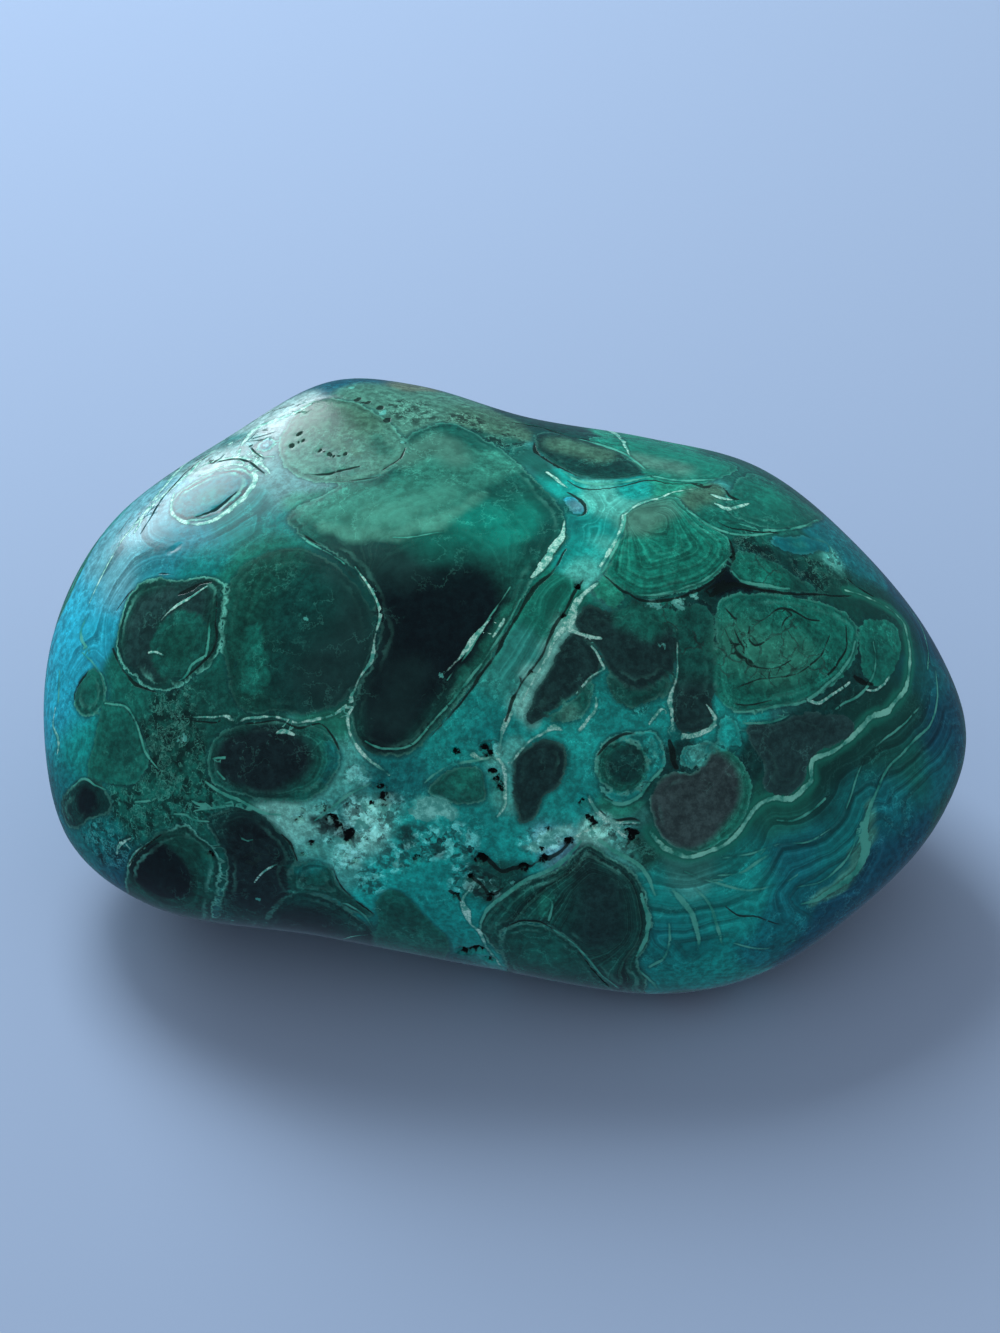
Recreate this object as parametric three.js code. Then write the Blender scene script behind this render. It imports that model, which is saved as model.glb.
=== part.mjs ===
// A polished, tumbled piece of chrysocolla grown through with malachite: one solid stone, in millimetres.
// The form is given in the frame of its broad polished face. u runs right across that face, v up it and
// w straight out of it. The stone then leans back onto the small flat it rests on: +Z up, +Y away.
import * as THREE from "three";
import { mergeVertices } from "three/addons/utils/BufferGeometryUtils.js";

// Driving dimensions.
const FACE_LEAN = THREE.MathUtils.degToRad(48); // how far the broad face leans back from upright
const REST_DEPTH = 17.6; // the resting flat lies this far under the middle of the broad face
const REST_ROUNDING = 1.6; // how softly the flat runs out into the flanks
const FULLNESS = 2.5; // 2 is an ellipsoid's flank, and more is squarer
const EDGE_WEAR = 1.8; // how widely tumbling has rounded the edges between the worn planes
const MESH_DETAIL = 19; // 20 * (detail + 1)^2 triangles
const MESH_GATHER = 0.3; // how much finer the mesh is on the broad face than on the back

// The girth: the stone's outline seen square on to its broad face, as [u, v].
const GIRTH_POINTS = [
  [-34.9, -3.6], [-34.2, 5.1], [-30.1, 12.9], [-21, 19.7], [-13.4, 23.9], [-6.6, 23.5], [1.7, 21],
  [10.8, 19.4], [19.4, 17.1], [26.7, 11.2], [32.7, 3.5], [35, -3.7], [32.3, -10.6], [25.7, -17.1],
  [18.9, -21.3], [11.5, -22.7], [-1.7, -20.7], [-13.9, -18.4], [-26.3, -16.3], [-32.7, -11.6],
];

// The plane that the girth lies in, and the planes that the stone broke along and wore down to. Each
// gives w at (u, v) as middle + alongU * u + alongV * v.
const GIRTH_PLANE = { middle: -4, alongU: 0, alongV: -0.2 };
const FRONT_PLANES = [
  { name: "broad face", middle: 14.5, alongU: 0, alongV: 0.05 },
  { name: "top face", middle: 22, alongU: 0.12, alongV: -0.8 },
  { name: "right shoulder", middle: 23, alongU: -0.42, alongV: 0.1 },
  { name: "left shoulder", middle: 21.5, alongU: 0.36, alongV: -0.1 },
  { name: "chin", middle: 24, alongU: 0.05, alongV: 0.6 },
];
const BACK_PLANES = [
  { name: "underside", middle: -28.4, alongU: 0.02, alongV: -0.93 },
  { name: "back", middle: -25, alongU: 0.05, alongV: 0 },
  { name: "upper back", middle: -29, alongU: -0.1, alongV: 0.5 },
  { name: "back left", middle: -38, alongU: -0.7, alongV: 0 },
  { name: "back right", middle: -38, alongU: 0.7, alongV: -0.1 },
];

// Low hollows and swells that tumbling left where the stone is softer or harder, and the open pits of
// the sandy patch, as rounded bumps that rise by height along w and fade out over reach.
const HARD_AND_SOFT_SPOTS = [
  { name: "great dark nodule, lower end", u: -7.5, v: 1, reach: 4.8, height: -0.7 },
  { name: "great dark nodule, upper end", u: -3.5, v: 7, reach: 4.2, height: -0.6 },
  { name: "pale fan", u: 12.5, v: 10, reach: 5, height: 0.5 },
  { name: "knot of small nodules", u: 15, v: -6, reach: 5, height: 0.35 },
  { name: "lower nodule", u: 5, v: -17, reach: 4.5, height: 0.4 },
];
const PITS = [
  { u: -9.4, v: -7.7 }, { u: -12.8, v: -10.6 }, { u: -1.7, v: -13.4 }, { u: 1.2, v: -13.5 }, { u: 3.8, v: -11.9 },
  { u: 6.4, v: -9.2 }, { u: 9.7, v: -10.8 }, { u: -1.3, v: -3.8 }, { u: -0.6, v: -6.6 }, { u: -1.9, v: -19.8 },
].map((pit) => ({ ...pit, reach: 1.1, height: -0.7 }));

const girth = new THREE.CatmullRomCurve3(
  GIRTH_POINTS.map(([u, v]) => new THREE.Vector3(u, v, 0)),
  true,
);
const GIRTH_SAMPLES = girth
  .getPoints(720)
  .slice(0, -1)
  .map((p) => ({ angle: Math.atan2(p.y, p.x), radius: Math.hypot(p.x, p.y) }))
  .sort((a, b) => a.angle - b.angle);

// The girth's radius in a direction, in between its two nearest samples.
function girthRadius(angle) {
  const count = GIRTH_SAMPLES.length;
  const above = Math.max(0, GIRTH_SAMPLES.findIndex((s) => s.angle >= angle));
  const next = GIRTH_SAMPLES[above];
  const last = GIRTH_SAMPLES[(above + count - 1) % count];
  const turn = (to) => THREE.MathUtils.euclideanModulo(to - last.angle, 2 * Math.PI);
  return THREE.MathUtils.lerp(last.radius, next.radius, turn(angle) / turn(next.angle));
}

function planeAt(plane, u, v) {
  return plane.middle + plane.alongU * u + plane.alongV * v;
}

// Where a set of worn planes lies at (u, v): the innermost one, seen from the side given by 1 for the
// front and -1 for the back, with the edges between them rounded over.
function wornSurface(planes, side, u, v) {
  const sum = planes.reduce((total, p) => total + Math.exp((-side * planeAt(p, u, v)) / EDGE_WEAR), 0);
  return -side * EDGE_WEAR * Math.log(sum);
}

function bumps(list, u, v) {
  return list.reduce(
    (sum, b) => sum + b.height * Math.exp(-((u - b.u) ** 2 + (v - b.v) ** 2) / b.reach ** 2),
    0,
  );
}

// The stone's surface in a direction from its middle, in the frame of the broad face.
function surfacePoint(direction) {
  const across = Math.hypot(direction.x, direction.y);
  const norm = (across ** FULLNESS + Math.abs(direction.z) ** FULLNESS) ** (1 / FULLNESS);
  const radius = (across / norm) * girthRadius(Math.atan2(direction.y, direction.x));
  const u = across > 0 ? (radius * direction.x) / across : 0;
  const v = across > 0 ? (radius * direction.y) / across : 0;
  const front = direction.z > 0;
  const planes = front ? FRONT_PLANES : BACK_PLANES;
  const relief = front ? bumps(HARD_AND_SOFT_SPOTS, u, v) + bumps(PITS, u, v) : 0;
  const girthPlane = planeAt(GIRTH_PLANE, u, v);
  const depth = Math.abs(wornSurface(planes, front ? 1 : -1, u, v) + relief - girthPlane);
  return new THREE.Vector3(u, v, girthPlane + (direction.z / norm) * depth);
}

// The larger of a height and the resting flat's, exactly flat below it and rounded where they meet.
function restOn(height, flat) {
  const share = THREE.MathUtils.clamp(0.5 + (0.5 * (height - flat)) / REST_ROUNDING, 0, 1);
  return THREE.MathUtils.lerp(flat, height, share) + REST_ROUNDING * share * (1 - share);
}

function stoneGeometry() {
  const ball = new THREE.IcosahedronGeometry(1, MESH_DETAIL);
  ball.deleteAttribute("normal");
  ball.deleteAttribute("uv");
  const geometry = mergeVertices(ball, 1e-5);
  const position = geometry.attributes.position;
  const uAxis = new THREE.Vector3(1, 0, 0);
  for (let i = 0; i < position.count; i++) {
    const direction = new THREE.Vector3().fromBufferAttribute(position, i);
    direction.z += MESH_GATHER;
    const onStone = surfacePoint(direction.normalize()).applyAxisAngle(uAxis, FACE_LEAN);
    position.setXYZ(i, onStone.x, onStone.y, restOn(onStone.z, -REST_DEPTH));
  }
  geometry.computeBoundingBox();
  const { min, max } = geometry.boundingBox;
  geometry.translate(-(min.x + max.x) / 2, -(min.y + max.y) / 2, -min.z);
  return geometry;
}

function stone() {
  const material = new THREE.MeshStandardMaterial({ color: 0x14564c, roughness: 0.22, metalness: 0 });
  const mesh = new THREE.Mesh(stoneGeometry(), material);
  mesh.name = "stone";
  return mesh;
}

const part = new THREE.Group();
part.add(stone());

export default part;
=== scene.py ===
# %% [markdown]
# # A polished stone of chrysocolla grown through with malachite
#
# The real thing is one lump of copper ore from the weathered top of a copper mine. Malachite grew in it as
# round, banded nodules, and blue-green chrysocolla filled the room between them. A tumbler then wore the
# lump round and polished it, so that its surface cuts through the nodules like the slices of a fruit cake.
# The whole lesson is about that surface: one finely divided mesh, a handful of distances measured on it, and
# one material that turns the distances into rims, bands, hearts and veins.

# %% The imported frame
import math
import random

import bmesh
import bpy
import numpy as np
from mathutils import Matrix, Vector, kdtree, noise
from mathutils.bvhtree import BVHTree


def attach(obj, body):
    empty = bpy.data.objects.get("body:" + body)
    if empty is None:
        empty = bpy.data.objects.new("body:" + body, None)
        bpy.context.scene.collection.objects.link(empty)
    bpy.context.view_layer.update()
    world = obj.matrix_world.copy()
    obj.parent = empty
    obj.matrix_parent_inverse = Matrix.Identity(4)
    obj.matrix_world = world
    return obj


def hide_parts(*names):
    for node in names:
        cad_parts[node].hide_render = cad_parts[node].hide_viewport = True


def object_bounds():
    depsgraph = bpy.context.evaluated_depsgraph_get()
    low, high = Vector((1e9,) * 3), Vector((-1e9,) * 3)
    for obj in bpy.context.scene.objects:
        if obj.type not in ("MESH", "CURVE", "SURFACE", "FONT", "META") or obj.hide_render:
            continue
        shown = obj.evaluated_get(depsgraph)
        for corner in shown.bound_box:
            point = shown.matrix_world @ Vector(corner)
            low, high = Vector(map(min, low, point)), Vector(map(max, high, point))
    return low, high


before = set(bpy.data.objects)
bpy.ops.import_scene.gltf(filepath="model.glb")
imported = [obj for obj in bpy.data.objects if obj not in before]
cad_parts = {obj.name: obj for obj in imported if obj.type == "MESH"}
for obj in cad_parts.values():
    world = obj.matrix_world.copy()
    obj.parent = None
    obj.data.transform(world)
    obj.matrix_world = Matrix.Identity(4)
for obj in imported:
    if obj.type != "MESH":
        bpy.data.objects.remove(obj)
cad_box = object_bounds()
scene = bpy.context.scene
print("CAD box:", [tuple(round(c, 4) for c in corner) for corner in cad_box])

# %% [markdown]
# ## The broad face and who looks at it
#
# A stone has no straight edges to measure from, so everything is placed from its broad polished face. That
# face leans back by 48 degrees. On it, u runs right, v runs up and w comes straight out, all in millimetres.
# The viewer stands square in front of the face, a quarter of a metre away. Every nodule is given by where
# that viewer sees it, and is then carried along the line of sight onto the stone.

# %% The face's own directions
MM = 0.001
FACE_LEAN = math.radians(48)
FACE_RIGHT = Vector((1, 0, 0))
FACE_UP = Vector((0, math.cos(FACE_LEAN), math.sin(FACE_LEAN)))
FACE_OUT = FACE_RIGHT.cross(FACE_UP)
FACE_MIDDLE = Vector((0, -2.87, 17.6)) * MM


def face_point(u, v, w=0.0):
    return FACE_MIDDLE + (FACE_RIGHT * u + FACE_UP * v + FACE_OUT * w) * MM


VIEWER_U, VIEWER_V, VIEWER_W = -0.38, 1.76, 250
viewer = face_point(VIEWER_U, VIEWER_V, VIEWER_W)
print("viewer stands at", [round(c, 4) for c in viewer])

# %% [markdown]
# ## The camera
#
# The camera takes the viewer's place. A long lens from a quarter of a metre keeps the stone's outline calm,
# without the swollen look that a short lens gives to something palm-sized.

# %% Camera
camera = bpy.data.objects.new("camera", bpy.data.cameras.new("camera"))
scene.collection.objects.link(camera)
scene.camera = camera
camera.data.lens = 90
camera.data.sensor_width = 36
camera.data.clip_start = 0.01
camera.location = viewer
camera.rotation_euler = (-FACE_OUT).to_track_quat("-Z", "Y").to_euler()
print("camera looks along", [round(c, 3) for c in -FACE_OUT])

# %% [markdown]
# ## Floor and light
#
# The floor is a pale, faintly blue sheet. A polished stone shows its form mostly by what it mirrors, and a
# bright sheet mirrored along its edges would fog them, so the sheet is kept out of reflections. The lights
# are split by their task. A low window stands behind the stone on the left, where the shoulder and the top
# eye can mirror it and turn hazy, and a pale curtain over it lets that haze fade out. A soft lamp above does
# the lighting proper and throws the shadow, but is hidden from reflections, as a photographer would flag it
# off. The room lights the stone from all sides but is darker and bluer for mirroring rays, so that the broad
# face keeps its deep colour.

# %% Floor
FLOOR_HALF = 0.6
bm = bmesh.new()
bmesh.ops.create_grid(bm, x_segments=1, y_segments=1, size=FLOOR_HALF)
floor_mesh = bpy.data.meshes.new("floor")
bm.to_mesh(floor_mesh)
bm.free()
floor = bpy.data.objects.new("floor", floor_mesh)
scene.collection.objects.link(floor)
floor.visible_glossy = False

paper = bpy.data.materials.new("pale_sheet")
paper.use_nodes = True
paper_shader = paper.node_tree.nodes["Principled BSDF"]
paper_shader.inputs["Base Color"].default_value = (0.3, 0.415, 0.6, 1)
paper_shader.inputs["Roughness"].default_value = 0.85
floor_mesh.materials.append(paper)


# %% Lights
def soft_light(name, towards, distance, size, watts, tint, mirrored=True):
    """A soft light of that width and height, hung that far away in a direction and turned to the stone."""
    light = bpy.data.lights.new(name, "AREA")
    light.shape = "RECTANGLE"
    light.size, light.size_y = size
    light.energy = watts
    light.color = tint
    lamp = bpy.data.objects.new(name, light)
    scene.collection.objects.link(lamp)
    lamp.location = (cad_box[0] + cad_box[1]) / 2 + Vector(towards).normalized() * distance
    lamp.rotation_euler = Vector(towards).to_track_quat("Z", "Y").to_euler()
    lamp.visible_camera = False
    lamp.visible_glossy = mirrored


soft_light("window", (-0.52, 0.82, 0.25), 0.5, (0.25, 0.18), 0.74, (0.84, 0.92, 1))
soft_light("pale curtain", (-0.46, 0.735, 0.5), 0.5, (0.24, 0.12), 0.18, (0.66, 0.86, 1))
soft_light("lamp above", (-0.3, 0.58, 0.76), 0.42, (0.18, 0.18), 1.35, (1, 1, 1), mirrored=False)

MIX_A, MIX_B, MIX_RESULT = 6, 7, 2  # where a mix node keeps its two colours and the result
world = bpy.data.worlds.new("dim_room")
scene.world = world
world.use_nodes = True
room = world.node_tree.nodes.new("ShaderNodeMix")
room.data_type = "RGBA"
room.inputs[MIX_A].default_value = (0.475, 0.475, 0.5, 1)
room.inputs[MIX_B].default_value = (0.09, 0.135, 0.2, 1)
light_path = world.node_tree.nodes.new("ShaderNodeLightPath")
world.node_tree.links.new(light_path.outputs["Is Glossy Ray"], room.inputs["Factor"])
world.node_tree.links.new(room.outputs[MIX_RESULT], world.node_tree.nodes["Background"].inputs["Color"])
scene.view_settings.view_transform = "Standard"
print("a window with its curtain, a lamp and a dim room")

# %% [markdown]
# ## One fine mesh
#
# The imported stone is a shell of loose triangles, made for measuring. A copy of it is merged and subdivided
# twice, which rounds the last facets away and leaves a point every quarter of a millimetre on the broad face.
# That is fine enough to store a pattern in the points themselves. Each point will remember distances, such as
# how deep it lies inside a nodule. A distance changes evenly from point to point, so the material can cut a
# far sharper line out of it than out of stored colours.

# %% The stone's mesh
coarse = bpy.data.objects.new("merged_copy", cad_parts["stone"].data.copy())
scene.collection.objects.link(coarse)
bm = bmesh.new()
bm.from_mesh(coarse.data)
bmesh.ops.remove_doubles(bm, verts=bm.verts, dist=0.001 * MM)
bm.to_mesh(coarse.data)
bm.free()
finer = coarse.modifiers.new("finer", "SUBSURF")
finer.levels = finer.render_levels = 2
stone_mesh = bpy.data.meshes.new_from_object(coarse.evaluated_get(bpy.context.evaluated_depsgraph_get()))
bpy.data.objects.remove(coarse)
stone_mesh.name = "polished_stone"
stone = bpy.data.objects.new("polished_stone", stone_mesh)
scene.collection.objects.link(stone)
stone_mesh.shade_smooth()
print("stone mesh:", len(stone_mesh.vertices), "points,", len(stone_mesh.polygons), "faces")

# %% [markdown]
# ## Measuring on the stone
#
# Four small tools do most of the measuring. The first carries a place on the face onto the stone, along the
# line of sight. The second rounds a few traced points into a smooth path. The third measures from every point
# of the mesh to such a path, and the fourth tells which points lie inside a closed one. The mesh points that
# they measure from are slightly shaken copies, because no line in a real stone is perfectly smooth.

# %% Points to measure from
# Without a seed, the noise that shakes the points starts from the clock. With one, every run is the same.
SEED = 7
noise.seed_set(SEED)


def read_vectors(name):
    """That vector of every point of the mesh, as rows of x, y and z."""
    values = np.empty(len(stone_mesh.vertices) * 3)
    stone_mesh.vertices.foreach_get(name, values)
    return values.reshape(-1, 3)


def shaken(places, size, amount):
    """The places moved about by a smooth noise whose lumps are that size, both in millimetres."""
    moves = [noise.noise_vector(Vector(place) / size) for place in places]
    return places + amount * np.array(moves)


points = read_vectors("co") / MM
normals = read_vectors("normal")
sight = np.array(viewer) / MM - points
facing = (sight * normals).sum(axis=1) / np.linalg.norm(sight, axis=1)
measured = shaken(shaken(points, 2.2, 0.16), 0.7, 0.05)
on_face = measured - np.array(FACE_MIDDLE) / MM
seen_w = on_face @ np.array(FACE_OUT)
reach_to_face = VIEWER_W / (VIEWER_W - seen_w)
seen_u = VIEWER_U + (on_face @ np.array(FACE_RIGHT) - VIEWER_U) * reach_to_face
seen_v = VIEWER_V + (on_face @ np.array(FACE_UP) - VIEWER_V) * reach_to_face
print(int((facing > 0).sum()), "points face the viewer")

# %% Places and paths on the stone
surface = BVHTree.FromPolygons(
    [v.co for v in stone_mesh.vertices], [p.vertices for p in stone_mesh.polygons])


def on_stone(u, v):
    """Where the viewer sees that place of the face, in millimetres; past the outline, the nearest stone."""
    aim = face_point(u, v)
    hit = surface.ray_cast(viewer, (aim - viewer).normalized())[0]
    if hit is None:
        hit = surface.find_nearest(face_point(u, v, -6))[0]
    return np.array(hit) / MM


def pulled_to_stone(place):
    """The stone's place nearest to some place beside it, both in millimetres."""
    return np.array(surface.find_nearest(Vector(place) * MM)[0]) / MM


def smooth_path(traced, closed=False, steps=5):
    """A curve through all the traced points, which may carry a width as their third number."""
    rows = [np.array(row, float) for row in traced]
    count = len(rows)
    path = []
    for i in range(count if closed else count - 1):
        picks = [i - 1, i, i + 1, i + 2]
        picks = [p % count for p in picks] if closed else [min(max(p, 0), count - 1) for p in picks]
        a, b, c, d = (rows[p] for p in picks)
        for t in np.arange(steps) / steps:
            path.append(0.5 * (2 * b + (c - a) * t + (2 * a - 5 * b + 4 * c - d) * t**2
                               + (3 * b - a - 3 * c + d) * t**3))
    path.append(rows[0] if closed else rows[-1])
    return np.array(path)


def from_link(at, a, b):
    """For each place in at: how far along the link a to b it is nearest, 0 to 1, and the arrow from there."""
    link = b - a
    along = np.clip((at - a) @ link / max(link @ link, 1e-9), 0, 1)
    return along, at - a - along[:, None] * link


def chain_distance(at, path, width):
    """From each place in at to a chain of links, less the chain's half width there."""
    if len(path) == 1:
        return np.linalg.norm(at - path[0], axis=1) - width[0]
    nearest = np.full(len(at), 99.0)
    for a, b, wa, wb in zip(path[:-1], path[1:], width[:-1], width[1:]):
        along, arrow = from_link(at, a, b)
        nearest = np.minimum(nearest, np.linalg.norm(arrow, axis=1) - wa - (wb - wa) * along)
    return nearest


def near(path, reach):
    """Numbers of the points inside the path's box, grown by that reach."""
    low, high = path.min(axis=0) - reach, path.max(axis=0) + reach
    return np.flatnonzero(((measured > low) & (measured < high)).all(axis=1))


def inside_loop(u, v, loop):
    """Whether each place is inside a closed path, by counting the crossings on its right."""
    odd = np.zeros(len(u), bool)
    for (ua, va), (ub, vb) in zip(loop[:-1], loop[1:]):
        crossed = (va > v) != (vb > v)
        odd ^= crossed & (u < ua + (ub - ua) * (v - va) / (vb - va if vb != va else 1e-9))
    return odd


print("the middle of the face lies at", on_stone(0, 0).round(1), "mm")

# %% [markdown]
# ## What a nodule is
#
# A malachite nodule grew outwards in skins, as an onion does, from a dark heart to a pale rim. Cut by the
# polished surface, it shows as a closed outline, a rim, a shell with rings and a heart. One small record
# holds all of that. The heart is a chain of balls, and the outline is either traced or again a chain of
# balls. Nodules that grew later, or that the polish cut nearer their middle, lie over the older ones, so they
# are listed in that order.

# %% The minerals' tones and the nodule record
TONES = {
    "night": (0.001, 0.008, 0.009),
    "dusk": (0.005, 0.02, 0.021),
    "umber": (0.008, 0.042, 0.038),
    "cool umber": (0.016, 0.062, 0.058),
    "warm umber": (0.04, 0.078, 0.074),
    "bottle": (0.002, 0.055, 0.045),
    "moss": (0.004, 0.1, 0.075),
    "dark moss": (0.003, 0.07, 0.05),
    "deep green": (0.004, 0.15, 0.11),
    "malachite": (0.004, 0.2, 0.14),
    "sea green": (0.001, 0.23, 0.17),
    "sage": (0.06, 0.22, 0.165),
    # The next two are painted haze: pale greyish teals that lay the window's reflection into the ground.
    "painted window haze": (0.28, 0.5, 0.5),
    "teal under painted haze": (0.09, 0.28, 0.28),
    "dim sea": (0.012, 0.22, 0.27),
    "lit leaf": (0.035, 0.3, 0.2),
    "soft teal": (0.025, 0.33, 0.27),
    "leaf": (0.012, 0.27, 0.18),
    "soft leaf": (0.028, 0.225, 0.165),
    "pale leaf": (0.06, 0.3, 0.22),
    "olive": (0.045, 0.15, 0.1),
    "tan": (0.11, 0.18, 0.125),
    "crust": (0.26, 0.84, 0.72),
    "deep teal": (0.001, 0.2, 0.19),
    "teal": (0.002, 0.32, 0.28),
    "turquoise": (0.004, 0.43, 0.37),
    "mint": (0.08, 0.5, 0.42),
    "sandy mint": (0.22, 0.72, 0.6),
    "deep lake": (0.001, 0.08, 0.125),
    "lake": (0.001, 0.17, 0.19),
    "sea": (0.012, 0.4, 0.54),
    "bright sea": (0.017, 0.45, 0.63),
    "pale sea": (0.12, 0.4, 0.47),
}
nodules = []


def laid(chain):
    """A chain of (u, v, radius) balls, laid on the stone as rows of x, y, z and radius."""
    return np.array([(*on_stone(u, v), radius) for u, v, radius in chain])


def nodule(name, shell, core, heart, outline=None, balls=None, rim=0.6, rings=3.0, banding=0.5, haze=1.0):
    """Note a nodule: tones, heart, outline or balls, rim strength, ring count, banding and heart's haze."""
    nodules.append({"name": name, "shell": TONES[shell], "core": TONES[core], "heart": laid(heart),
                    "outline": outline, "balls": None if balls is None else laid(balls), "rim": rim,
                    "rings": rings, "banding": banding, "haze": haze})


# %% Nodules of the left half
nodule("great tongue", "moss", "night",
       [(-9.2, -3.4, 0.5), (-8.3, -0.8, 1.5), (-7.3, 1.8, 2.3), (-5.6, 4.4, 2.9), (-3.4, 6.4, 2.3),
        (-8.4, 6.8, 1.8)],
       outline=[(-15.3, 11.6), (-13.5, 10.6), (-12, 9.5), (-10.5, 8), (-9.7, 6), (-9.3, 4.5), (-9.8, 2.5),
                (-11, 0.3), (-11.5, -2), (-11.2, -3.6), (-10.2, -4.6), (-8.6, -5), (-6.8, -4.4),
                (-4.8, -2.4), (-2.6, 0.2), (-0.9, 2.6), (0.5, 5.2), (2.1, 8.3), (3.6, 9.8), (4.5, 11.5),
                (4.3, 13.2), (3.3, 14.7), (1.5, 16.5), (-1, 18.5), (-4, 20), (-6.5, 19.5), (-10, 17),
                (-14, 14.5), (-16.5, 13)],
       rim=0.35, rings=4.0, banding=0.2, haze=2.6)
nodule("big round", "dark moss", "bottle", [(-13.4, 6, 2.6), (-13.4, 3.6, 2.8), (-14.6, 1.4, 2)],
       outline=[(-20.9, 6), (-20.3, 8.5), (-18.5, 10), (-16, 10.8), (-13.5, 9.9), (-11.6, 8.4), (-10.3, 6.5),
                (-9.9, 4.5), (-10.3, 2), (-11.3, 0.2), (-12.8, -1.1), (-14.7, -1.7), (-17, -1.7),
                (-19.5, -1.6), (-20.7, 0), (-21.1, 3)],
       rim=0.12, rings=3.0, banding=0.2, haze=3.4)
nodule("left lens", "deep green", "deep green", [(-18.8, 1.8, 0.3)],
       outline=[(-19.5, 4.4), (-18.6, 4.7), (-18.1, 3.4), (-17.8, 1.9), (-17.9, 0.5), (-18.7, -0.3),
                (-19.8, -0.2), (-20.2, 0.9), (-20, 2.6)],
       rim=0.0, rings=1.5, banding=0.2)
nodule("left eye", "dark moss", "umber", [(-26.6, 3.2, 1.7), (-25.8, 5.2, 1.8), (-23.9, 6.4, 1)],
       outline=[(-21.2, 8), (-23, 8.5), (-24.6, 8.3), (-26.2, 8.4), (-27.5, 7.9), (-28.4, 6.7), (-29, 5),
                (-29.2, 3.4), (-28.9, 2.1), (-28, 1.1), (-27, 0.2), (-25.6, -0.05), (-24.3, 0.3), (-23, 1.3),
                (-22, 2.2), (-21.4, 3.2), (-21.2, 4.7), (-21.1, 6.3)],
       rim=1.0, rings=2.0, banding=0.3, haze=2.2)
nodule("eye's disc", "moss", "dark moss", [(-24.6, 3.4, 1)], balls=[(-24.5, 3.4, 2.5)], rim=0.05, rings=2.0,
       banding=0.2)
nodule("oval", "deep green", "dusk", [(-19.7, -5.2, 1.5), (-18, -5.2, 2), (-16.4, -5, 1.3)],
       outline=[(-22.2, -5), (-21.6, -3.4), (-20, -2.6), (-17.5, -2.4), (-15, -2.6), (-13.5, -3.2),
                (-12.6, -4.4), (-12.4, -5.6), (-13.1, -7), (-14.4, -8), (-16.5, -8.4), (-18.8, -8.2),
                (-20.8, -7.6), (-22.1, -6.6)], rim=0.4, rings=3.0, banding=0.4, haze=1.6)
nodule("dark pebble", "bottle", "dusk", [(-19, -11.5, 1.2), (-18.6, -15, 1.8)],
       outline=[(-22.3, -9.6), (-20.8, -8.9), (-19.2, -9), (-17.6, -9.8), (-16.4, -11), (-15.5, -12.8),
                (-16, -14.5), (-15.5, -17), (-17, -20), (-22, -19.5), (-21.6, -17), (-21, -14.5),
                (-21, -12.4), (-21.9, -10.8)],
       rim=0.35, rings=3.0, banding=0.4, haze=2.5)
nodule("lower eye", "dark moss", "night", [(-25.9, -13.8, 2.4)],
       outline=[(-28.4, -13.6), (-27.8, -12.2), (-26.6, -11.1), (-25.2, -10.4), (-23.9, -10.2),
                (-22.8, -10.9), (-21.9, -11.9), (-21.4, -13.1), (-21.5, -14.6), (-21.8, -16.2), (-22.4, -18),
                (-25, -18.5), (-28, -17)],
       rim=0.9, rings=2.0, banding=0.35, haze=0.7)
nodule("low pebble", "bottle", "dusk", [(-15, -17.5, 1.5)],
       outline=[(-16, -15.4), (-14.2, -15.4), (-12.8, -15.9), (-11.4, -16.9), (-10.2, -18), (-9.6, -19),
                (-9.9, -19.8), (-12, -21.5), (-16, -22), (-18.5, -19.5), (-17.6, -16.8)],
       rim=0.35, rings=2.0, banding=0.3, haze=2.0)
nodule("low lens", "moss", "deep green", [(-14, -13.8, 0.3)],
       outline=[(-15.6, -13), (-14.2, -12.8), (-13.2, -13.2), (-12.6, -14.4), (-11.4, -15.7), (-10, -17),
                (-11.2, -16.8), (-12.8, -15.8), (-14.2, -15.3), (-15.8, -15.1), (-16.1, -14)],
       rim=0.3, rings=2.0, banding=0.4)
nodule("slab", "deep green", "moss", [(-7.6, -17, 0.6)],
       outline=[(-9.7, -15.8), (-8.4, -15), (-7.2, -15.6), (-6.3, -16.8), (-5.2, -17.9), (-4.2, -18.8),
                (-4.8, -20.5), (-8, -21), (-9.8, -19.5), (-9.6, -17.5)],
       rim=0.1, rings=2.0, banding=0.3, haze=2.0)
nodule("white eye", "lake", "deep teal", [(-22, 14.6, 0.6)],
       outline=[(-25.1, 13.4), (-24.2, 12.6), (-22.8, 12.6), (-21, 13.4), (-19.4, 14.7), (-18.9, 15.8),
                (-19.4, 16.5), (-21, 16.5), (-23, 15.8), (-24.6, 14.7)], rim=1.6, rings=1.0, banding=0.1)
nodule("top eye", "sage", "olive", [(-11.5, 20.2, 0.8), (-13.5, 20.3, 0.8)],
       outline=[(-17, 18.2), (-16.4, 16.8), (-15.2, 15.9), (-13.5, 15.6), (-11.8, 15.6), (-10.2, 15.9),
                (-8.8, 16.5), (-7.7, 17.4), (-7.4, 18.5), (-8.6, 19.8), (-9.8, 20.8), (-11.5, 21.7),
                (-14, 21.8), (-16, 20.5)],
       rim=0.4, rings=3.0, banding=0.12, haze=4.0)
nodule("small pale eye", "pale sea", "pale sea", [(-18, 18.4, 0.2)], balls=[(-18, 18.3, 0.8)], rim=0.9)
nodule("far green", "deep green", "moss", [(-31.6, -0.6, 0.4)],
       outline=[(-32.3, -0.4), (-31.8, 0.8), (-31, 1.7), (-30.3, 1.2), (-29.9, 0), (-30.2, -1.2),
                (-31.2, -1.9), (-32.1, -1.5)],
       rim=0.5, rings=1.5, banding=0.3)
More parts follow.
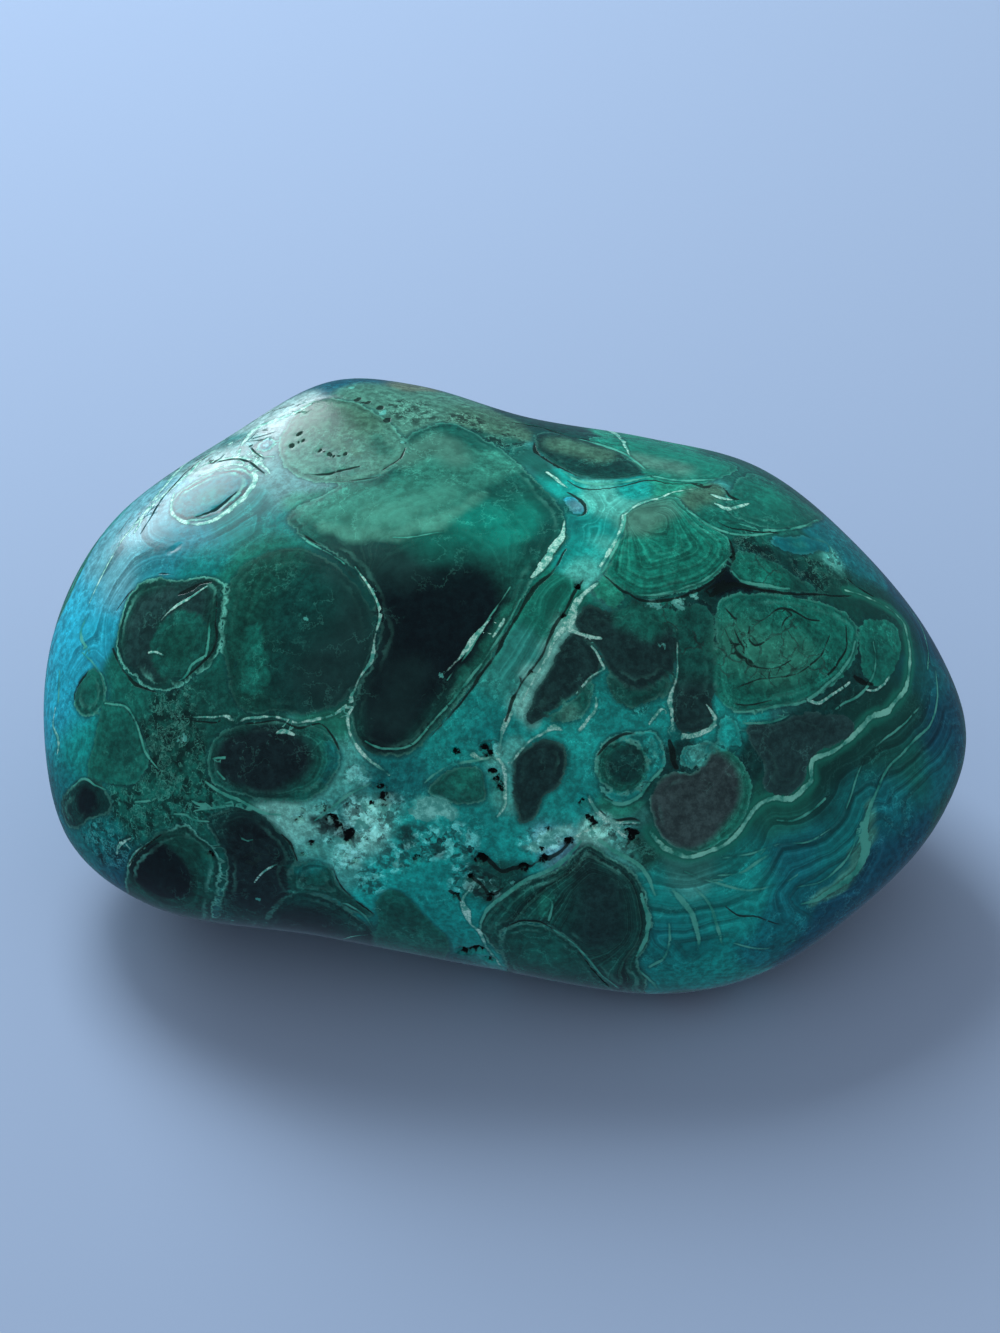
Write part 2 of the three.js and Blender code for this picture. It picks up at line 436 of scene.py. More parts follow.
nodule("lower green", "deep green", "moss", [(-28.5, -4.5, 0.6)],
       outline=[(-30, -0.9), (-28.7, -1.2), (-27.8, -2.3), (-27.2, -3.6), (-26.7, -5.2), (-27.6, -6.9),
                (-29.5, -7), (-31.2, -6.3), (-30.9, -4), (-30.5, -2.4)],
       rim=0.1, rings=1.0, banding=0.1, haze=2.0)
nodule("far patch", "bottle", "night", [(-31.4, -8.4, 0.8)],
       outline=[(-33.2, -8.2), (-32.7, -7.5), (-31.7, -6.7), (-30.4, -7.1), (-29.6, -8.2), (-29.7, -9.2),
                (-31, -9.7), (-32.2, -10.4), (-33.1, -9.8)], rim=0.4, rings=2.0, banding=0.4)
print(len(nodules), "nodules on the left half")

# %% Nodules of the right half
nodule("fan", "malachite", "olive", [(10.3, 12.9, 0.5)],
       outline=[(7.4, 8.9), (8.1, 10.4), (8.8, 11.8), (9, 13.1), (10.4, 13.9), (12.4, 14.5), (13.6, 13.7),
                (14.8, 12.6), (16.4, 11.5), (16.9, 10.6), (16.8, 9.6), (15.9, 8.6), (14.5, 7.8), (13, 7.3),
                (11.4, 6.9), (9.9, 7), (8.7, 7.7), (7.6, 8.5)],
       rim=0.3, rings=9.0, banding=0.5, haze=2.2)
nodule("chip", "leaf", "leaf", [(7.9, 7.2, 0.2)],
       outline=[(7, 8.2), (7.8, 8.2), (9, 7.1), (8.7, 6.4), (8, 6.1), (7.1, 6.8), (6.6, 7.5)],
       rim=0.1, rings=1.0, banding=0.1)
nodule("lobed", "malachite", "deep green", [(19, 6.4, 0.3)],
       outline=[(15.9, 5.5), (16.5, 6.9), (19, 7.3), (22, 7), (24.5, 6.3), (26.2, 5.2), (26.5, 3.6), (26, 2),
                (24.6, 0.4), (23, -0.5), (21.5, -1.1), (19.5, -1.5), (17.8, -1.6), (16.3, -0.8), (15.8, 0.6),
                (15.8, 3)], rim=0.4, rings=8.0, banding=0.3, haze=1.5)
nodule("right bead", "malachite", "deep green", [(28, 2.8, 0.6)],
       outline=[(26.8, 5), (28.2, 5.4), (29.4, 4.6), (29.7, 2.8), (29.2, 1.3), (28.1, 0.3), (26.9, 1.1),
                (26.6, 3)], rim=0.1, rings=1.0, banding=0.1, haze=1.5)
nodule("upper cell", "umber", "umber", [(4.6, 1.4, 0.9)],
       outline=[(5.1, 4.2), (6, 3.9), (6.7, 3.1), (7.1, 2.2), (7.1, 1.4), (6.1, 0.6), (5.2, -0.4),
                (4.2, -1.1), (3, -1.9), (1.8, -2.5), (1.7, -1.7), (2.2, -0.4), (3, 1), (3.7, 2.4),
                (4.3, 3.5)],
       rim=0.2, rings=1.0, banding=0.2, haze=1.5)
nodule("cell's apron", "deep green", "pale leaf", [(4.8, -1.8, 0.2)],
       outline=[(6.6, 0.6), (6.5, -0.6), (6.1, -1.6), (5.4, -2.3), (4.3, -2.5), (3.3, -2.3), (3.9, -1.6),
                (4.9, -1), (5.8, -0.1)], rim=0.35, rings=1.5, banding=0.3)
nodule("wide cell", "umber", "umber", [(9, 3.2, 1.2), (10.8, 1.8, 1)],
       outline=[(5.3, 5.1), (5.9, 6.3), (6.8, 6.3), (7.8, 5.9), (9, 6.2), (9.6, 6.9), (10.6, 6.4), (11.6, 6),
                (12.6, 5.9), (12.8, 4.5), (12.8, 2.4), (12.2, 1), (11.3, 0.4), (10, 0.05), (8.8, 0.4),
                (7.8, 1.3), (7.3, 2.4), (6.6, 3.6), (5.9, 4.3)], rim=0.1, rings=1.5, banding=0.2, haze=1.8)
nodule("wide apron", "moss", "moss", [(9.8, -0.6, 0.2)],
       outline=[(7.7, 1.2), (8.8, 0.4), (10, 0.05), (11.3, 0.4), (12.2, 1), (12.2, -0.2), (11.2, -0.9),
                (9.8, -1.2), (8.6, -0.9), (7.7, -0.1)], rim=0.3, rings=1.5, banding=0.3)
nodule("tall cell", "moss", "umber", [(14.1, -1.3, 1.1), (13.9, -2.2, 0.8)],
       outline=[(12.9, 4.6), (13, 6.1), (15.1, 6.3), (15.7, 4), (15.8, 1), (15.5, -1), (15.6, -2.4),
                (14.8, -3), (13.6, -3.2), (12.9, -3), (12.6, -1.5), (12.7, 0), (12.9, 2.5)],
       rim=0.1, rings=1.5, banding=0.2, haze=2.2)
nodule("wedge cell", "umber", "umber", [(2.5, -6, 1)],
       outline=[(0.6, -5.5), (1.6, -4.3), (3, -3.7), (4.3, -4), (4.9, -5), (4.5, -6.4), (3.9, -7.3),
                (3, -8.3), (2.3, -9.4), (1.6, -9.9), (0.9, -9.9), (0.7, -8.5), (0.7, -7)],
       rim=0.25, rings=1.0, banding=0.2, haze=1.2)
nodule("ring eye", "teal", "teal", [(9, -5.6, 0.7)],
       outline=[(6.8, -6), (6.9, -4.9), (7.6, -3.9), (8.8, -3.2), (10.1, -3.2), (11.4, -3.3), (12, -4.4),
                (12, -5.8), (11, -7), (10, -8.2), (8.8, -8.5), (7.6, -8.1), (7, -7.2)],
       rim=0.5, rings=4.0, banding=0.5, haze=0.8)
nodule("inner ring eye", "malachite", "bottle", [(9, -5.6, 1.1)], balls=[(8.8, -5.8, 1.95)],
       rim=0.8, rings=2.0, banding=0.5, haze=0.7)
nodule("round brown", "leaf", "warm umber", [(13.7, -9, 2.6), (14.9, -7.6, 2.4), (15.5, -6.2, 1.1)],
       outline=[(10.9, -8.8), (11.3, -7.4), (12.2, -6.4), (13.3, -6.1), (14.4, -6), (15.1, -5.2),
                (15.8, -4.6), (16.8, -4.6), (17.8, -5.4), (18.5, -7), (18.3, -8.9), (17.4, -10.5),
                (16, -11.6), (14.2, -12.1), (12.7, -11.7), (11.5, -10.6)],
       rim=0.35, rings=3.0, banding=0.3, haze=0.9)
nodule("pale scale", "teal", "mint", [(14.4, -4.8, 0.2)],
       outline=[(13, -3.6), (13.2, -4.2), (14.5, -4), (16.2, -4), (15.7, -4.6), (15, -5.1), (14.3, -5.9),
                (13.6, -5.8), (13.2, -5.2), (13.3, -4.6)], rim=0.4)
nodule("turquoise chip", "turquoise", "turquoise", [(16.8, -3.3, 0.2)],
       outline=[(16.2, -2.2), (17.2, -2.3), (17.7, -3.3), (17.8, -4.3), (16.3, -4.2), (15.9, -3.4)], rim=0.2,
       rings=1.0, banding=0.1)
nodule("right brown", "cool umber", "cool umber", [(21.5, -4, 0.9)],
       outline=[(18.2, -2.8), (20, -2.5), (22, -1.9), (24, -1.7), (25.6, -1.9), (26.2, -2.9), (25, -4),
                (23.3, -4.8), (22.7, -5.7), (22.5, -6.8), (21.5, -7.7), (20, -7.9), (19.4, -7), (19.6, -5.6),
                (18.7, -4.6)], rim=0.15, rings=1.5, banding=0.2, haze=1.4)
nodule("bottom eye", "moss", "umber", [(7.2, -15.4, 0.5), (7.3, -18, 0.6)],
       outline=[(-1.7, -17.8), (-1, -16.4), (0.5, -15), (2.2, -14), (4.2, -13.2), (5.2, -12.2), (6.3, -11.5),
                (7.2, -12), (8.5, -12.9), (9.8, -13.9), (10.6, -15.5), (10.9, -17.5), (10.5, -19.3),
                (9.9, -20.5), (10.6, -22), (9.5, -24), (5, -24.5), (1, -22), (-0.3, -20), (-1.4, -18.8)],
       rim=0.8, rings=7.0, banding=0.9, haze=3.6)
nodule("green pebble", "moss", "deep green", [(3, -20, 1)],
       outline=[(-0.3, -19.3), (-0.1, -18.2), (0.8, -17.6), (2.4, -17.5), (3.6, -18), (5, -19), (6.2, -20.3),
                (7.3, -21.6), (8.8, -23), (6, -25), (2, -24), (0.2, -21)], rim=0.5, rings=2.0, banding=0.2)
nodule("half moon", "deep green", "malachite", [(-3, -6.6, 0.3)],
       outline=[(-5.7, -7.3), (-5, -6.7), (-4.2, -6.1), (-3, -5.8), (-1.9, -6), (-1.4, -7), (-1.5, -8.2),
                (-2.4, -8.6), (-3.5, -8.6), (-4.4, -8.3), (-5.4, -7.9)], rim=0.4, rings=1.5, banding=0.3)
nodule("olive lens", "bottle", "olive", [(4.2, 18.4, 0.6), (7, 17.7, 0.5)],
       outline=[(2.2, 18.2), (2.2, 19.1), (3.5, 19.3), (5, 19), (6.5, 18.6), (8.4, 17.9), (9.6, 17.1),
                (10.6, 16.3), (9, 15.95), (7, 15.85), (5.3, 16.2), (3.8, 17), (2.8, 17.7)],
       rim=0.2, rings=2.0, banding=0.3, haze=1.6)
nodule("drop", "sea", "pale sea", [(5.3, 13.8, 0.2)],
       outline=[(4.5, 14.3), (5, 14.5), (5.7, 14), (6, 13.5), (5.5, 13.2), (4.8, 13.5)], rim=0.2, rings=1.0)
nodule("ridge lens", "malachite", "sage", [(10, 17.3, 0.2), (13, 16.6, 0.2)],
       outline=[(10.7, 16.2), (12, 15.8), (14, 15.6), (16, 15.8), (17.4, 16.7), (15.5, 17.5), (13, 18.3),
                (10.5, 18.8), (8, 19), (6.2, 18.8), (8.4, 17.9), (9.7, 17.1)],
       rim=0.2, rings=4.0, banding=0.25, haze=2.0)
nodule("shoulder lens", "deep green", "malachite", [(20, 14.5, 0.5)],
       outline=[(16.8, 13.4), (18.4, 12.5), (20.5, 12.1), (22.3, 12.2), (23.8, 12.9), (22.3, 14.2),
                (20.2, 15.6), (18.3, 16.2), (17, 15.2)],
       rim=0.2, rings=2.0, banding=0.15, haze=2.4)
nodule("blue lens", "lake", "deep teal", [(22, 11, 0.3)],
       outline=[(19.8, 11.2), (21, 11.6), (22.6, 11.5), (24, 11), (24.3, 10.5), (22.8, 10.2), (21.2, 10.4)],
       rim=0.15, rings=1.0, banding=0.1)
nodule("wedge", "moss", "malachite", [(18.2, 9, 0.4), (20.4, 8.2, 0.2)],
       outline=[(16.8, 8.9), (17.8, 8), (19.5, 7.6), (21.4, 7.4), (23.4, 7.3), (21.6, 8.8), (20, 9.7),
                (18.6, 10.2), (17.3, 10.3)], rim=0.12, rings=1.0, banding=0.1, haze=1.6)
print(len(nodules), "nodules on the seen side")

# %% [markdown]
# ## The far side
#
# Nobody has drawn the far side, but the same ore goes on there. It gets its own nodules, of the same sizes
# and the same families of tone, strewn by a seeded shuffle that keeps them from crowding each other. They
# are only put where the stone turns away from the viewer.

# %% Nodules of the far side
TURNED_AWAY, WELL_HIDDEN = -0.2, -0.55  # limits for the cosine between a point's normal and the line of sight
FAR_NODULES, ATTEMPTS = 86, 2400
shuffle = random.Random(SEED)
far_points = [int(i) for i in np.flatnonzero(facing < TURNED_AWAY)]
hidden_points = [int(i) for i in np.flatnonzero(facing < WELL_HIDDEN)]
SIZES = [7.5, 6.2, 5, 4, 3.2, 2.5, 1.8]
BIG, FIRST_ATTEMPTS = 3.5, 500  # a radius above BIG stays well hidden, and is tried for only at first
families = [("malachite", "umber", 0.6), ("leaf", "deep green", 0.4), ("deep green", "night", 0.6),
            ("moss", "bottle", 0.5), ("deep green", "cool umber", 0.5), ("malachite", "bottle", 0.7),
            ("umber", "umber", 0.3), ("moss", "night", 0.5), ("bottle", "umber", 0.4),
            ("malachite", "leaf", 0.4)]


def random_step(size):
    """A step of up to that size, forwards or backwards, along each axis."""
    return np.array([shuffle.uniform(-size, size) for axis in range(3)])


far_nodules = []
for attempt in range(ATTEMPTS):
    radius = shuffle.choice(SIZES) * shuffle.uniform(0.85, 1.15)
    first = points[shuffle.choice(hidden_points if radius > BIG else far_points)]
    second = pulled_to_stone(first + random_step(0.7) * radius)
    crowded = any(np.linalg.norm(first - other["balls"][1, :3]) < 0.85 * (radius + other["balls"][1, 3])
                  for other in far_nodules)
    if crowded or (radius > BIG and attempt > FIRST_ATTEMPTS):
        continue
    shell, core, rim = shuffle.choice(families)
    heart = np.array([(*first, radius * shuffle.uniform(0.2, 0.5)), (*second, radius * 0.25)])
    third = pulled_to_stone(first + random_step(0.6) * radius)
    balls = np.array([(*third, radius * shuffle.uniform(0.6, 0.8)), (*first, radius * 0.85),
                      (*second, radius * shuffle.uniform(0.6, 0.9))])
    far_nodules.append({
        "name": f"far {len(far_nodules)}", "shell": TONES[shell], "core": TONES[core], "heart": heart,
        "outline": None, "balls": balls, "warped": True,
        "rim": rim, "rings": shuffle.uniform(2, 6), "banding": shuffle.uniform(0.2, 0.7),
        "haze": radius * shuffle.uniform(0.15, 0.5)})
    if len(far_nodules) == FAR_NODULES:
        break
print(len(far_nodules), "nodules on the far side")

# %% [markdown]
# ## Laying the nodules down
#
# The nodules are laid down one after another, the oldest first, as a painter would. Every point of the mesh
# keeps what the uppermost nodule there tells it: its depth below the outline, how far it is on the way from
# the rim to the heart, and the tones. Points on open ground keep their distance to the nearest outline as a
# negative depth. A second measure, the edge, is the distance to the nearest outline that is still in sight.
# A traced nodule only has an outline as far as the viewer could see it. Where the stone has turned away from
# the viewer it is closed by a wavering line of its own, so that no nodule ends in a straight cut.

# %% Depth, edge, rings and tones
REACH = 4.0  # the points this near to a nodule, in millimetres, ask how far it is
BEHIND = -0.6  # where the stone faces this far away, a traced outline means nothing
WALL, MARGIN = 0.15, 0.4  # how near the outline is a wall, and how far out a nodule's own tones reach
RING_SHIFT = 7.3  # each nodule reads its rings from a stretch of the noise of its own
count = len(points)
depth = np.full(count, -REACH)
edge = np.full(count, REACH)
rim = np.zeros(count)
ring = np.zeros(count)
banding = np.zeros(count)
heart = np.zeros(count)
shell_tone = np.zeros((count, 3))
core_tone = np.zeros((count, 3))
outline_places = []
warped = shaken(measured, 4.5, 1.3)
turned_away = (12 * (facing - TURNED_AWAY)
               + 1.2 * (warped - measured)[:, 0] + 0.8 * (warped - measured)[:, 2])


def lay_down(one, age):
    """Let the nodule cover the points inside it and tell the points around it how far away it is."""
    if one["outline"] is None:
        rows = one["balls"]
        where = near(rows[:, :3], REACH + rows[:, 3].max())
        at = (warped if "warped" in one else measured)[where]
        inward = -chain_distance(at, rows[:, :3], rows[:, 3])
        outline_places.extend(points[where[np.abs(inward) < WALL]])
    else:
        loop = smooth_path(one["outline"], closed=True)
        path = np.array([on_stone(u, v) for u, v in loop])
        where = near(path, REACH)
        inward = chain_distance(measured[where], path, np.zeros(len(path)))
        within = inside_loop(seen_u[where], seen_v[where], loop) & (facing[where] > BEHIND)
        inward = np.where(within, inward, -inward)
        inward = np.minimum(inward, turned_away[where])
        outline_places.extend(path)
    kernel = chain_distance(measured[where], one["heart"][:, :3], one["heart"][:, 3])
    toward = inward / np.maximum(inward + np.maximum(kernel, 0), 1e-6)
    covered = inward > 0
    claimed = covered | ((inward > -MARGIN) & (depth[where] < 0))
    edge[where] = np.where(covered, inward, np.minimum(edge[where], np.abs(inward)))
    rim[where] = np.where(claimed | (np.abs(inward) <= edge[where] + 1e-6), one["rim"], rim[where])
    depth[where] = np.where(covered, inward, np.where(depth[where] < 0, np.maximum(depth[where], inward),
                                                      depth[where]))
    for store, value in ((ring, toward * one["rings"] + RING_SHIFT * age), (banding, one["banding"]),
                         (heart, np.clip(1 - kernel / one["haze"], 0, 1))):
        store[where] = np.where(claimed, value, store[where])
    for store, value in ((shell_tone, one["shell"]), (core_tone, one["core"])):
        store[where] = np.where(claimed[:, None], value, store[where])


for age, one in enumerate(far_nodules + nodules):
    lay_down(one, age)
print("laid down from", far_nodules[0]["name"], "to", nodules[-1]["name"])
print("inside a nodule:", int((depth > 0).sum()), "of", count, "points")

# %% [markdown]
# ## Veins and cracks
#
# Pale veins run between the nodules where the last room was filled, and thin dark cracks follow some of the
# outlines. Each is a path with a half width at every point, so that it can swell and taper. White veins are
# crusts of silica, green ones are malachite, and the cracks are gaps that stayed open. A crack that is hardly
# longer than it is wide makes a pinhole, finer than the mesh could hold. Some white lines are no veins but
# painted highlights and glints, on rims and crack edges that would mirror the window, and one dark line
# beside such a highlight is a painted shadow.

# %% White veins of the seen side
white_veins_and_highlights = [
    # Painted highlight: a white blade along the tongue's lower right rim, where its wall would mirror the
    # window.
    [(2, 8.35, 0.05), (2.6, 9.1, 0.24), (3.3, 10.1, 0.3), (3.9, 11.1, 0.26), (4.35, 11.9, 0.12),
     (4.45, 12.7, 0.05)],
    # Painted highlights: two pale streaks along the edge of the band beside the tongue.
    [(-4.6, 1.2, 0.05), (-3.4, 2.4, 0.1), (-2.3, 3.9, 0.14), (-1, 5.4, 0.04)],
    [(-0.9, 3.9, 0.05), (-0.2, 4.9, 0.1), (0, 5.4, 0.03)],
    [(-0.5, -4.6, 0.06), (-0.3, -3.4, 0.08), (0.1, -2.3, 0.2), (0.4, -1.8, 0.1)],
    [(1.1, -1.2, 0.02), (2.2, 0.8, 0.05), (3.2, 2.7, 0.09), (3.7, 3.8, 0.12), (4.5, 4.7, 0.26),
     (4.9, 5.4, 0.36), (5.2, 6.3, 0.26), (5.8, 7.1, 0.14), (6.9, 8, 0.07)],
    [(4.9, 4.5, 0.12), (5.5, 4.3, 0.08), (6.3, 4.05, 0.1), (7.2, 3.9, 0.08)],
    [(6.4, 3.4, 0.05), (6.9, 2.6, 0.07), (7.4, 1.5, 0.06)],
    [(7.3, 1.4, 0.04), (6.3, 0.9, 0.06), (5.8, 0.2, 0.06), (5.3, -0.4, 0.04)],
    [(12.9, 4.5, 0.02), (12.9, 3, 0.05), (12.9, 1.2, 0.06), (12.6, 0, 0.09), (12.3, -0.9, 0.14),
     (12.5, -1.8, 0.1), (12.7, -2.8, 0.11), (13.1, -3.3, 0.16), (13.9, -3.5, 0.2), (14.8, -3.2, 0.15),
     (15.7, -2.6, 0.14), (15.5, -1.8, 0.09), (15.1, -1.2, 0.03)],
    [(12.3, -3.1, 0.06), (12.6, -3.7, 0.1), (13.2, -4.2, 0.05)],
    # Painted glints: a white line beside the black crack low on the right.
    [(6.25, -8, 0.08), (6.6, -8.8, 0.16), (7.2, -9.5, 0.12), (8, -9.9, 0.13), (9.2, -9.95, 0.1),
     (10.1, -10, 0.08)],
    [(8.2, -10.4, 0.08), (8.9, -10.9, 0.1), (9.5, -11.2, 0.05)],
    [(5.1, -11.1, 0.05), (5.8, -10.7, 0.1), (6.6, -10.3, 0.12), (7.8, -10.1, 0.06)],
    [(3.1, -3, 0.1), (3.6, -2.75, 0.22), (4.3, -2.95, 0.04)],
    [(0.4, -5.5, 0.04), (1.3, -4.4, 0.06), (2.3, -3.5, 0.07), (3.4, -2.95, 0.08)],
    [(-0.5, -5.2, 0.05), (-0.1, -6, 0.12), (0, -7.2, 0.14), (0, -8.6, 0.09), (-0.6, -9.5, 0.03)],
    [(-2.4, -4.8, 0.16), (-1.8, -5.2, 0.08), (-1, -5.1, 0.08), (-0.4, -5.4, 0.08)],
    [(6.8, -0.6, 0.03), (6.75, -1.5, 0.09), (6.2, -2.2, 0.08), (5.6, -2.9, 0.1)],
    [(11.7, -1.5, 0.08), (11.2, -2.1, 0.08), (10.6, -3, 0.03)],
    # Painted highlight on the edge of a crack in the left eye, and below it a painted glint.
    [(-25.8, 5.3, 0.04), (-24.6, 6.4, 0.1), (-23.6, 7, 0.09), (-22.3, 7.7, 0.03)],
    [(-26.7, 2.8, 0.07), (-26.2, 2.9, 0.09), (-25.6, 2.65, 0.06)],
    # Painted highlights: two white arcs on rims near the lower left edge.
    [(-29.2, -12.3, 0.06), (-28.9, -11.5, 0.12), (-28, -11, 0.06)],
    [(-28.2, -13.3, 0.04), (-27.9, -12.4, 0.1), (-27, -11.6, 0.05)],
    [(-18.7, -14.4, 0.04), (-17.9, -13.5, 0.06), (-17, -13, 0.07), (-16.7, -12.8, 0.03)],
    [(-26.8, 13.4, 0.1), (-25.2, 15, 0.16), (-23.8, 16.2, 0.18), (-22.4, 17.6, 0.16), (-20.6, 18.5, 0.16)],
    [(-23.4, 16.3, 0.05), (-21.8, 17.2, 0.12), (-19.8, 17.4, 0.12), (-18.4, 17, 0.1), (-17.6, 16.2, 0.04)],
    [(-20, 17.4, 0.05), (-19.6, 18.6, 0.16), (-18.7, 19.6, 0.2), (-17.2, 20.2, 0.22), (-15.6, 20.9, 0.2),
     (-14.4, 21.5, 0.1)],
    [(-19, 17.9, 0.08), (-18.3, 17.5, 0.1), (-17.4, 17.5, 0.05)],
    [(-11.3, 9.3, 0.03), (-10.3, 8, 0.06), (-9.6, 6.6, 0.08), (-9.3, 5.4, 0.09), (-9.7, 4.1, 0.06),
     (-9.9, 3.2, 0.09), (-10.1, 2.1, 0.16), (-10.8, 1.1, 0.04), (-11.2, 0.1, 0.1), (-11.5, -0.4, 0.12),
     (-11.3, -1.1, 0.06), (-11.8, -1.9, 0.09), (-11.8, -2.8, 0.09), (-11.5, -3.6, 0.07), (-10.8, -4.6, 0.08),
     (-10.2, -5.2, 0.06), (-9.4, -5.8, 0.09), (-8.7, -6.4, 0.07)],
    [(-11.9, -1.1, 0.13), (-12.8, -1.7, 0.09), (-14, -2.2, 0.1), (-15.5, -2.45, 0.05)],
    [(-17.1, -3.3, 0.08), (-16.5, -3.15, 0.16), (-15.8, -3.3, 0.06)],
    [(-24.6, -2, 0.03), (-22.5, -2.05, 0.05), (-21.1, -1.95, 0.08), (-20.6, -2.2, 0.16), (-20.2, -2.6, 0.14),
     (-19.4, -2.15, 0.08), (-18, -2, 0.07), (-16.4, -2.3, 0.08), (-15.5, -2.5, 0.04)],
    [(9.1, 13.2, 0.05), (10.2, 14, 0.1), (11.5, 14.4, 0.08), (12.6, 14.8, 0.06), (14.3, 15.1, 0.05)],
    [(8.9, 13.2, 0.06), (8.7, 12, 0.1), (7.9, 10.6, 0.12), (7.1, 9.3, 0.06)],
    # Painted glints: a white fleck by the pits at the olive lens.
    [(3.2, 16.3, 0.1), (3.8, 15.8, 0.13), (4.6, 15.2, 0.03)],
    [(26.9, 0, 0.04), (27.8, 0, 0.07), (28.8, 0.9, 0.08)],
    [(22.6, -0.8, 0.12), (23.4, -1, 0.1), (24.2, -0.6, 0.09), (25, -0.1, 0.1), (25.8, 0.6, 0.06)],
    [(15.8, 14, 0.1), (16.9, 13.6, 0.22), (18.3, 14, 0.04)],
    [(15.4, 14.7, 0.05), (16.3, 14.4, 0.13), (17.1, 14.3, 0.05)],
    [(-0.1, -20.9, 0.06), (-0.8, -20.1, 0.09), (-1.5, -19.1, 0.09), (-1.9, -18.1, 0.1), (-2.6, -17.5, 0.06),
     (-2.9, -16.6, 0.24), (-3.1, -15.8, 0.1), (-2.6, -14.8, 0.06)],
    [(-31.2, 6.4, 0.02), (-30, 9, 0.06), (-28.6, 11.4, 0.08), (-27, 13.3, 0.04)],
    [(-33.7, -1.2, 0.03), (-33.9, -2.6, 0.08), (-33.5, -3.8, 0.12), (-33.6, -4.8, 0.04)],
    [(-24.8, 14.8, 0.06), (-25.1, 13.6, 0.1), (-24.4, 12.7, 0.14), (-22.8, 12.4, 0.18), (-21, 13.2, 0.2),
     (-19.4, 14.6, 0.22), (-18.7, 15.9, 0.18), (-19.4, 16.8, 0.12), (-21, 16.8, 0.1), (-23, 16, 0.06)],
    [(-27.8, 11.8, 0.06), (-26.4, 14.2, 0.12), (-24.6, 16.4, 0.18), (-22.8, 18.1, 0.2), (-20.8, 19.4, 0.2),
     (-19, 20.4, 0.12)],
]
print(len(white_veins_and_highlights), "white veins")

